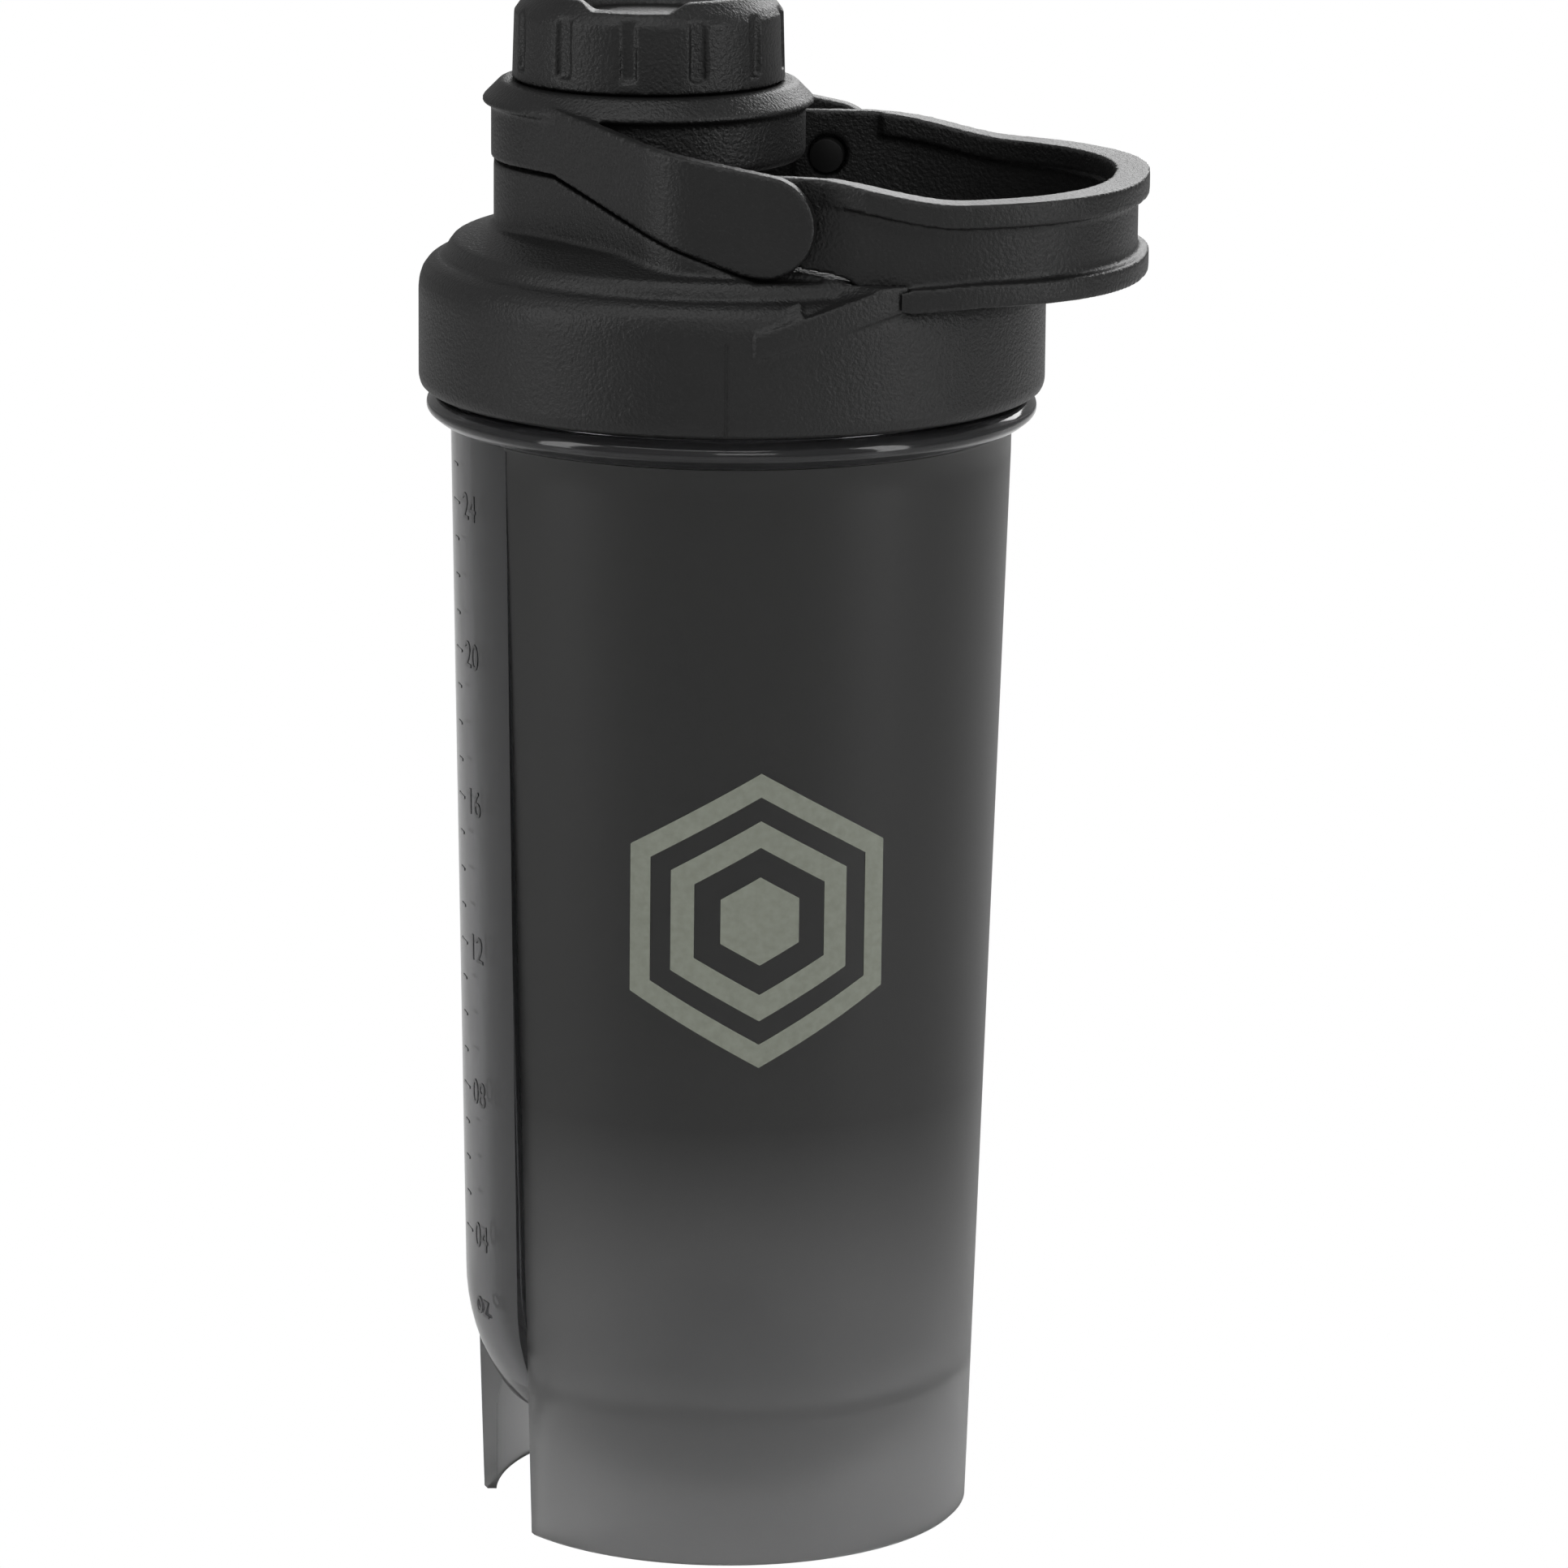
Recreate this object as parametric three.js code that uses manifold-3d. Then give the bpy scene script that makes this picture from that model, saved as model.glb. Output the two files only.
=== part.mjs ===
// Protein shaker bottle with a screw-on lid, a finger loop and a flip-back yoke that holds the screw cap.
// Millimetres, +Z up. Pieces are laid out about the bottle's axis and then shifted as one group, so that
// the origin is under the middle of the whole footprint, on the table.
import * as THREE from "three";
import { mergeVertices } from "three/addons/utils/BufferGeometryUtils.js";
import Module from "manifold-3d";

const wasm = await Module();
wasm.setup();

// Fits
const gap = 0.3;
const runningGap = 0.45;

// Cup
const footRadius = 38;
const footWall = 1.9;
const cupTopRadius = 43.1;
const cupHeight = 172.5;
const cupWall = 2.1;
const bowlClearance = 8;
const bowlFloor = 2;
const bowlCornerHeight = 38;
const cupSplit = 40;
const windowFootRadius = 40.2;
const windowAngle = 207;
const windowSpan = 38;
const beadRadius = 46.8;
const beadHeight = 4.6;
const neckHeight = 9;
const threadDepth = 1.1;

// Lid
const skirtRadius = 48;
const skirtHeight = 15.3;
const skirtWall = 2.6;
const skirtLift = 0.6;
const shoulderStep = 4.4;
const shoulderHeight = 5.4;
const domeRadius = 36.5;
const domeRise = 6.2;
const crownRise = 2;
const lidWall = 2.4;
const gasketThickness = 1.3;

// Spout and its raised seat
const spoutOffset = 13.1;
const spoutRadius = 12;
const spoutBore = 9.8;
const spoutRise = 14;
const collarStep = 3;
const collarRadius = spoutRadius + collarStep;
const collarHeight = 5.5;
const spoutThread = 1.2;
const seatWall = 2.4;
const capWall = 1.8;
const capBoreGap = 1.4;
const capSkirtRadius = collarRadius + spoutThread + capBoreGap + capWall;

// Yoke that carries the cap
const ringWall = 4.6;
const ringRadius = capSkirtRadius + ringWall;
const ringHeight = 8.4;
const flangeLip = 1.3;
const flangeRadius = ringRadius + flangeLip;
const flangeHeight = 3.4;
const armThickness = 3.2;
const armSpread = 41;
const pivotReach = 10.2;
const pivotDrop = 4.2;
const armEndRadius = 7.7;
const bracketReach = 4.5;
const flareReach = 30;
const flareRise = 5.8;
const flareLip = 0.6;
const pinRadius = 2.6;

// Screw cap
const capOverhang = 1.4;
const capRadius = capSkirtRadius + capOverhang;
const capHeight = 13.4;
const capSkirtDepth = 9.8;
const capRecess = 4.2;
const capBevel = 3.2;
const capGrooves = 12;
const grooveWidth = 2.6;
const grooveDepth = 0.9;

// Finger loop
const loopReach = 63.5;
const loopHalfWidth = 38.8;
const loopShoulder = 22;
const loopWall = 2.6;
const loopLip = 1.7;
const loopHeight = 15.5;
const lipHeight = 3.6;
const nubRadius = 2.2;
const cheekLead = 5.5;
const detentSize = 2.2;

// Mixing ball
const ballRadius = 11.6;
const ballWire = 1.1;
const ballClearance = 0.6;

// Heights that follow from the sizes above
const beadTop = cupHeight + beadHeight;
const rimTop = beadTop + neckHeight;
const skirtBottom = beadTop + skirtLift;
const skirtTop = skirtBottom + skirtHeight;
const stepTop = skirtTop + shoulderHeight;
const domeEdge = skirtTop + shoulderHeight + domeRise;
const gasketTop = rimTop + gap + gasketThickness;
const seatTop = domeEdge + 7.6;
const ringBottom = seatTop + 0.6;
const flangeBase = ringBottom + ringHeight;
const ringTop = flangeBase + flangeHeight;
const pivotHeight = ringBottom - pivotDrop;
const capBase = ringTop + gap;
const armTopAtRing = ringTop - 1.6;
const retainerTop = capBase - capSkirtDepth + 1.8;
const footprintShift = (loopReach - skirtRadius) / 2;

function toSolid(geometry) {
  geometry.deleteAttribute("normal");
  geometry.deleteAttribute("uv");
  const welded = mergeVertices(geometry, 1e-4);
  const mesh = new wasm.Mesh({
    numProp: 3,
    vertProperties: new Float32Array(welded.attributes.position.array),
    triVerts: new Uint32Array(welded.index.array),
  });
  return new wasm.Manifold(mesh);
}

function toGeometry(solid) {
  const mesh = solid.getMesh();
  const geometry = new THREE.BufferGeometry();
  geometry.setAttribute("position", new THREE.BufferAttribute(new Float32Array(mesh.vertProperties), 3));
  geometry.setIndex(new THREE.BufferAttribute(new Uint32Array(mesh.triVerts), 1));
  geometry.computeVertexNormals();
  return geometry;
}

// A turned solid about +Z from [radius, height] pairs that run counter-clockwise in the half-plane.
function turned(points, segments, centreX = 0) {
  const profile = points.map(([radius, height]) => new THREE.Vector2(radius, height));
  profile.push(profile[0].clone());
  const geometry = new THREE.LatheGeometry(profile, segments);
  geometry.rotateX(Math.PI / 2);
  geometry.translate(centreX, 0, 0);
  return toSolid(geometry);
}

// An outline in plan, raised from one height to another.
function raised(points, bottom, top) {
  const shape = new THREE.Shape(points.map(([x, y]) => new THREE.Vector2(x, y)));
  const geometry = new THREE.ExtrudeGeometry(shape, { depth: top - bottom, bevelEnabled: false });
  geometry.translate(0, 0, bottom);
  return toSolid(geometry);
}

// An outline in side view, [x, z], carried right across the bottle in Y.
function across(points, from = -80, to = 80) {
  const shape = new THREE.Shape(points.map(([x, z]) => new THREE.Vector2(x, z)));
  const geometry = new THREE.ExtrudeGeometry(shape, { depth: to - from, bevelEnabled: false });
  geometry.rotateX(Math.PI / 2);
  geometry.translate(0, to, 0);
  return toSolid(geometry);
}

// An outline in front view, [y, z], carried along X on the +Y side, climbing by a slope as it goes.
function along(points, from, to, slope = 0) {
  const shape = new THREE.Shape(points.map(([y, z]) => new THREE.Vector2(y, z)));
  const geometry = new THREE.ExtrudeGeometry(shape, { depth: to - from, bevelEnabled: false });
  geometry.rotateX(Math.PI / 2).rotateZ(Math.PI / 2);
  geometry.applyMatrix4(new THREE.Matrix4().makeShear(0, slope, 0, 0, 0, 0)).translate(from, 0, 0);
  return toSolid(geometry);
}

function post(radius, bottom, top, x, y, segments = 32) {
  const geometry = new THREE.CylinderGeometry(radius, radius, top - bottom, segments);
  geometry.rotateX(Math.PI / 2);
  geometry.translate(x, y, (top + bottom) / 2);
  return toSolid(geometry);
}

function crossPin(radius, fromY, toY, x, z, segments = 20) {
  const geometry = new THREE.CylinderGeometry(radius, radius, toY - fromY, segments);
  geometry.translate(x, (fromY + toY) / 2, z);
  return toSolid(geometry);
}

// A helical ridge of rounded section for a screw thread.
function threadRidge(radius, depth, bottom, pitch, turns, centreX = 0) {
  class Helix extends THREE.Curve {
    getPoint(t) {
      const angle = t * turns * 2 * Math.PI;
      const height = bottom + t * turns * pitch;
      return new THREE.Vector3(centreX + radius * Math.cos(angle), radius * Math.sin(angle), height);
    }
  }
  const section = new THREE.Shape();
  section.absarc(0, 0, depth, 0, 2 * Math.PI);
  const steps = Math.round(28 * turns);
  const options = { steps, curveSegments: 3, extrudePath: new Helix(), bevelEnabled: false };
  return toSolid(new THREE.ExtrudeGeometry(section, options));
}

function arc(centreX, centreY, radius, fromDegrees, toDegrees, steps) {
  const points = [];
  for (let i = 0; i <= steps; i += 1) {
    const angle = THREE.MathUtils.degToRad(fromDegrees + (toDegrees - fromDegrees) * (i / steps));
    points.push([centreX + radius * Math.cos(angle), centreY + radius * Math.sin(angle)]);
  }
  return points;
}

function mirrored(points) {
  return points.map(([x, y]) => [x, -y]).reverse();
}

function wallRadius(height) {
  return footRadius + (cupTopRadius - footRadius) * (height / cupHeight);
}

function windowRadius(height) {
  return windowFootRadius + (cupTopRadius - windowFootRadius) * (height / cupHeight);
}

// The rounded underside of the vessel, from the axis out to the straight wall.
function bowlProfile(inset, topRadius, floorLift) {
  const floor = bowlClearance + floorLift;
  const cornerTop = bowlCornerHeight + floorLift / 2;
  const outer = topRadius - inset;
  const points = [[0, floor]];
  for (let i = 0; i <= 7; i += 1) {
    const angle = (i / 7) * (Math.PI / 2);
    const radius = outer * (0.34 + 0.66 * Math.sin(angle));
    points.push([radius, cornerTop - (cornerTop - floor) * Math.cos(angle)]);
  }
  return points;
}

// The vessel, its foot skirt and its neck as one solid, before it is parted.
function wholeCup() {
  const segments = 48;
  const sleeve = turned([
    [0, 0],
    [footRadius, 0],
    [cupTopRadius, cupHeight],
    [beadRadius - 1.6, cupHeight + 0.5],
    [beadRadius, cupHeight + 1.8],
    [beadRadius, beadTop - 1.2],
    [beadRadius - 1, beadTop],
    [cupTopRadius, beadTop],
    [cupTopRadius, rimTop],
    [0, rimTop],
  ], segments);
  const vessel = turned([
    ...bowlProfile(0, windowRadius(bowlCornerHeight), 0),
    [cupTopRadius, cupHeight],
    [0, cupHeight],
  ], segments);
  const inside = turned([
    ...bowlProfile(cupWall, wallRadius(bowlCornerHeight), bowlFloor),
    [cupTopRadius - cupWall, cupHeight],
    [cupTopRadius - cupWall, rimTop + 1],
    [0, rimTop + 1],
  ], segments);
  const bowl = bowlProfile(0, wallRadius(bowlCornerHeight) - cupWall / 2, 0).reverse();
  const underBowl = turned([
    [0, -1],
    [footRadius - footWall, -1],
    [footRadius - footWall, bowlClearance + 6],
    ...bowl.filter(([radius]) => radius < footRadius - footWall - 1),
  ], segments);
  const half = windowSpan / 2;
  const sector = [[0, 0], ...arc(0, 0, beadRadius + 4, windowAngle - half, windowAngle + half, 6)];
  const wedge = raised(sector, -1, cupHeight - 1);
  const notch = wedge.subtract(vessel);
  const pane = wedge.intersect(vessel);
  const thread = threadRidge(cupTopRadius - 0.2, threadDepth, beadTop + 1.8, 4, 1.4);
  return sleeve.subtract(notch).add(pane).add(thread).subtract(underBowl).subtract(inside);
}

function belowCut(height) {
  return across([[-90, -10], [90, -10], [90, height], [-90, height]]);
}

// Bowl and foot, parted from the wall above by a small gap.
function cupBase() {
  return wholeCup().intersect(belowCut(cupSplit));
}

function cupWallTube() {
  return wholeCup().subtract(belowCut(cupSplit + gap));
}

// Plan outline shared by the seat under the yoke and by the yoke's arms, for one side of the bottle:
// straight beside the pivot, then a tangent to the ring round the spout.
function armLine(inset) {
  const cornerX = pivotReach - armEndRadius - 7.3;
  const side = armSpread - inset;
  const radius = ringRadius - inset;
  const dx = cornerX + spoutOffset;
  const distance = Math.hypot(dx, side);
  const lean = Math.atan2(side, dx) + Math.acos(radius / distance);
  const tangent = [-spoutOffset + radius * Math.cos(lean), radius * Math.sin(lean)];
  const touch = THREE.MathUtils.radToDeg(lean);
  const bend = [];
  for (let i = 0; i <= 4; i += 1) {
    const t = i / 4;
    const a = [cornerX + 5 * (1 - t), side];
    const b = [cornerX + (tangent[0] - cornerX) * 0.16 * t, side + (tangent[1] - side) * 0.16 * t];
    bend.push([a[0] * (1 - t) + b[0] * t, a[1] * (1 - t) + b[1] * t]);
  }
  return { bend, touch, radius };
}

function armOutline(inset, reach) {
  const line = armLine(inset);
  const upper = [[reach, armSpread - inset], ...line.bend];
  const round = arc(-spoutOffset, 0, line.radius, line.touch, 360 - line.touch, 16);
  return [...upper, ...round, ...mirrored(upper)];
}

// The seat's top follows the underside of the yoke: level below the ring, then falling to the pivots.
const slopeStart = -spoutOffset - 11;
const slopeEnd = pivotReach - 1;
const armBottom = pivotHeight - armEndRadius;

// Side view of the seat, grown by a clearance.
function seatSide(clearance) {
  return [
    [-60, seatTop + clearance],
    [slopeStart, seatTop + clearance],
    [slopeEnd + clearance, armBottom - 0.6 + clearance],
    [slopeEnd + 5.2 + clearance, skirtTop - 1.4],
    [slopeEnd + 5.2 + clearance, skirtBottom + 9],
    [-60, skirtBottom + 9],
  ];
}

function seat() {
  return raised(armOutline(0.4, 40), skirtBottom + 9, seatTop).intersect(across(seatSide(0)));
}

// Outer profile of the lid, grown by a clearance.
function lidOutline(clearance) {
  const profile = [
    [skirtRadius, skirtTop],
    [skirtRadius - 0.5, skirtTop + 2.4],
    [skirtRadius - 1.8, skirtTop + 4.2],
    [skirtRadius - shoulderStep + 0.4, skirtTop + 5],
    [skirtRadius - shoulderStep, stepTop + 1],
    [skirtRadius - shoulderStep - 1, stepTop + 2.2],
    [domeRadius, domeEdge - 2],
    [domeRadius * 0.6, domeEdge - 2 + crownRise * 0.6],
  ].map(([radius, height]) => [radius + clearance, height + clearance]);
  const crown = [0, domeEdge - 2 + crownRise + clearance];
  if (clearance) return [[0, skirtBottom - 1], [skirtRadius + clearance, skirtBottom - 1], ...profile, crown];
  const hem = [[0, skirtBottom], [skirtRadius - 1.4, skirtBottom], [skirtRadius, skirtBottom + 1.5]];
  return [...hem, ...profile, crown];
}

function lidShell() {
  const segments = 48;
  const outer = turned(lidOutline(0), segments);
  const hollowRadius = skirtRadius - skirtWall;
  const ceiling = domeEdge - 2 - lidWall;
  const hollow = turned([
    [0, skirtBottom - 1],
    [hollowRadius, skirtBottom - 1],
    [hollowRadius, gasketTop + gap],
    [cupTopRadius - cupWall - 0.6, gasketTop + gap],
    [cupTopRadius - cupWall - 0.6, gasketTop + 2],
    [hollowRadius - 1.6, gasketTop + 2.6],
    [hollowRadius - 2, skirtTop + 2],
    [domeRadius, ceiling],
    [domeRadius * 0.6, ceiling + crownRise * 0.6],
    [0, ceiling + crownRise],
  ], segments);
  const seatHollow = raised(armOutline(0.4 + seatWall, pivotReach), gasketTop + 4, seatTop - seatWall);
  const slope = [
    [-60, seatTop - seatWall],
    [slopeStart, seatTop - seatWall],
    [slopeEnd, armBottom - seatWall - 0.6],
    [slopeEnd, gasketTop + 4],
    [-60, gasketTop + 4],
  ];
  const cheekRoom = raised(loopPlan(loopLip - gap, pivotReach - cheekLead), skirtBottom, seatTop + 20);
  const gussets = bracket().add(flare()).subtract(cheekRoom);
  const body = outer.add(seat()).add(gussets);
  const bore = post(spoutRadius + gap, skirtBottom, seatTop + 5, -spoutOffset, 0, 36);
  const pinHoles = crossPin(pinRadius + runningGap, -60, 60, pivotReach, pivotHeight);
  const armRoom = besideCheeks(across([
    [slopeStart, seatTop],
    [slopeEnd, armBottom - 0.6],
    [pivotReach + armEndRadius + 1, armBottom - 0.6],
    [pivotReach + armEndRadius + 1, seatTop + 20],
    [slopeStart, seatTop + 20],
  ]));
  return body.subtract(hollow).subtract(seatHollow.intersect(across(slope)))
    .subtract(bore).subtract(pinHoles).subtract(armRoom);
}

// Keeps what lies outside the loop's cheeks on both sides, where the arms swing.
function besideCheeks(solid) {
  const between = [[-90, 0], [90, 0], [90, 300], [-90, 300]];
  return solid.subtract(across(between, -loopFace(), loopFace()));
}

// Gusset under each pivot: it grows out of the skirt and narrows up to the yoke's arm.
function bracket() {
  const inner = loopFace() - loopLip + gap;
  const root = skirtTop - 3;
  const plan = [
    [pivotReach - 11, inner],
    [pivotReach + bracketReach, inner],
    [pivotReach + bracketReach, loopFace() + 0.6],
    [pivotReach - 2, skirtRadius - 1.4],
    [pivotReach - 11, skirtRadius],
  ];
  const sideView = [
    [pivotReach - 11, root],
    [pivotReach + bracketReach, root],
    [pivotReach + bracketReach, skirtTop - 0.5],
    [pivotReach - 1.5, armBottom - 0.8],
    [pivotReach - 11, armBottom + 4],
  ];
  const rise = [
    [inner, root],
    [skirtRadius, root],
    [skirtRadius, skirtTop],
    [armSpread - 0.4, armBottom],
    [inner, armBottom + 5],
  ];
  const one = raised(plan, root, armBottom + 5).intersect(across(sideView)).intersect(along(rise, -20, 40))
    .intersect(post(skirtRadius - 0.1, root, armBottom + 5, 0, 0, 48));
  return one.add(one.mirror([0, 1, 0]));
}

// Flange that climbs from each gusset to the loop's lower lip, with a hollow sweep up to the loop's cheek.
function flare() {
  const inner = loopFace() - loopLip + gap;
  const root = skirtTop - 3;
  const edge = root + lipHeight;
  const rise = [
    [inner, root],
    [skirtRadius + 2, root],
    [skirtRadius + 2, edge],
    [inner + 4, edge + 1],
    [inner + 1.5, edge + 3],
    [inner + 0.5, edge + 7],
    [inner, edge + 7.2],
  ];
  const one = along(rise, pivotReach, flareReach, flareRise / (flareReach - pivotReach))
    .intersect(post(skirtRadius + flareLip, root - 1, skirtTop + 16, 0, 0, 48));
  const stud = new THREE.BoxGeometry(detentSize, 2, detentSize * 1.3);
  stud.rotateX(0.7).rotateY(-0.3).translate(pivotReach + bracketReach + 1, skirtRadius - 4.5, skirtTop + 3.4);
  const whole = one.add(toSolid(stud));
  return whole.add(whole.mirror([0, 1, 0]));
}

function loopFace() {
  return armSpread - armThickness - runningGap;
}

function loopBand(outerInset, innerInset, side) {
  const start = pivotReach - cheekLead;
  const outerShape = loopPlan(outerInset, start);
  const innerShape = loopPlan(innerInset, start - 5);
  const inside = raised(innerShape, skirtBottom - 1, seatTop + 10);
  return raised(outerShape, skirtBottom, seatTop + 9).subtract(inside).intersect(across(side));
}

// Outline of the loop in plan: a straight cheek beside each pivot, then a rounded nose.
function loopPlan(inset, start) {
  const half = [];
  const noseLength = loopReach - loopShoulder;
  for (let i = 0; i <= 14; i += 1) {
    const angle = (i / 14) * (Math.PI / 2);
    const x = loopShoulder + (noseLength - inset) * Math.pow(Math.sin(angle), 0.92);
    const y = (loopHalfWidth - inset) * Math.pow(Math.max(Math.cos(angle), 0), 0.86);
    half.push([x, i === 14 ? 0 : y]);
  }
  const upper = [[start, loopFace() - inset], ...half];
  return [...upper.slice(0, -1), upper[upper.length - 1], ...mirrored(upper.slice(0, -1))].reverse();
}

function carryLoop() {
  const low = skirtTop + 3.6;
  const high = low + loopHeight;
  const start = pivotReach - cheekLead;
  const tip = loopReach + 1;
  const rise = high + 3.4;
  const lowEdge = [[start, low - 4], [pivotReach + 12, low - 1.4], [loopShoulder + 20, low], [tip, low]];
  const highEdge = [[tip, high], [loopShoulder + 14, high], [pivotReach + 8, rise], [start, rise]];
  const shift = (points, dz) => points.map(([x, z]) => [x, z + dz]);
  const wall = loopBand(loopLip, loopLip + loopWall, [...lowEdge, ...highEdge]);
  const skirtRoom = post(skirtRadius + flareLip + gap, skirtBottom, seatTop, 0, 0, 48);
  const lowLip = [...lowEdge, ...shift(lowEdge, lipHeight).reverse()];
  const bottomLip = loopBand(0, loopLip + loopWall, lowLip).subtract(skirtRoom);
  const topLip = loopBand(0, loopLip + loopWall + 1, [...shift(highEdge, -lipHeight).reverse(), ...highEdge]);
  const beyondCheek = [[loopShoulder, 0], [90, 0], [90, 300], [loopShoulder, 300]];
  const lips = bottomLip.add(topLip).intersect(across(beyondCheek));
  const nub = new THREE.SphereGeometry(nubRadius, 14, 10);
  nub.translate(loopReach - loopLip - loopWall - 0.6, 0, high - 6);
  const lidRoom = turned(lidOutline(gap), 48);
  const pins = crossPin(pinRadius + runningGap, -60, 60, pivotReach, pivotHeight);
  const seatPlan = raised(armOutline(0.4 - gap, 40), skirtBottom + 9, seatTop + gap);
  const seatRoom = seatPlan.intersect(across(seatSide(gap)));
  return wall.add(lips).add(toSolid(nub)).subtract(lidRoom).subtract(seatRoom).subtract(pins);
}

// The drinking spout: a tube with a stepped collar and one screw thread, seated in the lid.
function spout() {
  const foot = domeEdge - lidWall - 3;
  const top = ringBottom + spoutRise;
  const base = seatTop + gap;
  const body = turned([
    [0, foot],
    [spoutRadius, foot],
    [spoutRadius, base],
    [collarRadius, base],
    [collarRadius, base + collarHeight],
    [spoutRadius + 0.6, base + collarHeight + 1],
    [spoutRadius, top - 1],
    [spoutRadius - 0.8, top],
    [0, top],
  ], 36, -spoutOffset);
  const thread = threadRidge(collarRadius - 0.2, spoutThread, base + 1.7, 2.6, 0.9, -spoutOffset);
  const bore = post(spoutBore, foot - 1, top + 1, -spoutOffset, 0, 32);
  return body.add(thread).subtract(bore);
}

function lidGasket() {
  const bottom = rimTop + gap;
  return turned([
    [cupTopRadius - cupWall - 0.4, bottom],
    [skirtRadius - skirtWall - gap, bottom],
    [skirtRadius - skirtWall - gap, gasketTop],
    [cupTopRadius - cupWall - 0.4, gasketTop],
  ], 40);
}

// Ring round the spout with a flared flange, and two arms that fall to the pivots.
function flipArm() {
  const ring = turned([
    [ringRadius - 1, ringBottom],
    [ringRadius, ringBottom + 0.8],
    [ringRadius, flangeBase - 0.4],
    [flangeRadius, flangeBase],
    [flangeRadius, flangeBase + 0.7],
    [ringRadius - 1.4, ringTop],
    [capSkirtRadius, ringTop],
    [capSkirtRadius, ringBottom],
  ], 48, -spoutOffset);
  const endTop = pivotHeight + armEndRadius;
  const arms = raised(armOutline(0, pivotReach + armEndRadius + 1), armBottom, armTopAtRing);
  const core = raised(armOutline(armThickness, pivotReach + 40), armBottom - 1, armTopAtRing + 1);
  const endX = pivotReach;
  const side = [
    [-70, ringBottom],
    [slopeStart, ringBottom],
    [endX - 3, armBottom + 0.4],
    ...arc(endX, pivotHeight, armEndRadius, 270, 440, 12),
    [-spoutOffset - 12, armTopAtRing],
    [-70, armTopAtRing],
  ];
  const bore = post(capSkirtRadius + runningGap, ringBottom - 1, ringTop + 1, -spoutOffset, 0, 48);
  const recess = post(ringRadius - 2.4, ringBottom - 1, retainerTop + gap, -spoutOffset, 0, 48);
  return arms.subtract(core).intersect(across(side)).add(ring).subtract(bore).subtract(recess);
}

function pivotPin(side) {
  const inner = loopFace() - loopWall - loopLip - 1.5;
  const outer = armSpread - armThickness - gap;
  const from = side < 0 ? -outer : inner;
  const to = side < 0 ? -inner : outer;
  return crossPin(pinRadius, from, to, pivotReach, pivotHeight);
}

// Screw cap: ribbed bell with a hollow crown, dipped front and back, and a plain skirt inside the ring.
function screwCap() {
  const top = capBase + capHeight;
  const bell = turned([
    [0, capBase - capSkirtDepth],
    [capSkirtRadius, capBase - capSkirtDepth],
    [capSkirtRadius, capBase],
    [capRadius, capBase],
    [capRadius - 0.3, top - capBevel],
    [capRadius - capBevel * 0.7, top - capBevel * 0.3],
    [capRadius - capBevel, top],
    [0, top],
  ], 48, -spoutOffset);
  const inside = turned([
    [0, capBase - capSkirtDepth - 1],
    [capSkirtRadius - capWall, capBase - capSkirtDepth - 1],
    [capSkirtRadius - capWall, top - capRecess - capWall - 2],
    [capSkirtRadius - capWall - 2, top - capRecess - capWall],
    [0, top - capRecess - capWall],
  ], 40, -spoutOffset);
  const crown = turned([
    [0, top - capRecess],
    [capRadius - capBevel - 3.6, top - capRecess],
    [capRadius - capBevel - 1.4, top + 1],
    [0, top + 1],
  ], 40, -spoutOffset);
  const dipLine = [[-6, -1.4], [-9.5, 1], [9.5, 1], [6, -1.4]];
  const dip = across(dipLine.map(([x, z]) => [x - spoutOffset, z + top]));
  const snap = ringOf(capSkirtRadius - 0.9, capSkirtRadius + 1, retainerTop - 1 - gap, 1 + 2 * gap, 40);
  let cap = bell.subtract(inside).subtract(crown).subtract(dip).subtract(snap);
  for (let i = 0; i < capGrooves; i += 1) {
    const groove = new THREE.BoxGeometry(grooveDepth * 2, grooveWidth, capHeight - capBevel);
    groove.translate(capRadius, 0, capBase + 1.8 + (capHeight - capBevel) / 2);
    groove.rotateZ((i / capGrooves) * 2 * Math.PI);
    groove.translate(-spoutOffset, 0, 0);
    cap = cap.subtract(toSolid(groove));
  }
  return cap;
}

function ringOf(inner, outer, bottom, height, segments) {
  return turned([[inner, bottom], [outer, bottom], [outer, bottom + height], [inner, bottom + height]],
    segments, -spoutOffset);
}

// Snap ring in the groove of the cap's skirt, under the yoke's inner ledge.
function capRetainer() {
  return ringOf(capSkirtRadius - 0.9 + gap, ringRadius - 2.4 - runningGap, retainerTop - 1, 1, 40);
}

function capLiner() {
  const under = capBase + capHeight - capRecess - capWall - gap;
  return post(spoutRadius + 1.6, under - 1.2, under, -spoutOffset, 0, 36);
}

// Hollow whisk of crossed wire hoops.
function mixingBall() {
  const height = bowlClearance + bowlFloor + ballRadius + ballWire + ballClearance;
  const hoop = (turnX, turnZ) => {
    const section = Array.from({ length: 6 }, (_, i) => {
      const angle = (i / 6) * 2 * Math.PI;
      return [ballRadius + ballWire * Math.cos(angle), ballWire * Math.sin(angle)];
    });
    return turned(section, 24).rotate([turnX, 0, turnZ]).translate([0, 0, height]);
  };
  return hoop(0, 0).add(hoop(90, 0)).add(hoop(90, 60)).add(hoop(90, 120));
}

const black = "#1d1d1d";
const smoke = "#3a3a3a";
const seal = "#101010";

function piece(name, solid, color, roughness) {
  const material = new THREE.MeshStandardMaterial({ color, roughness, metalness: 0 });
  const mesh = new THREE.Mesh(toGeometry(solid), material);
  mesh.name = name;
  return mesh;
}

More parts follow.
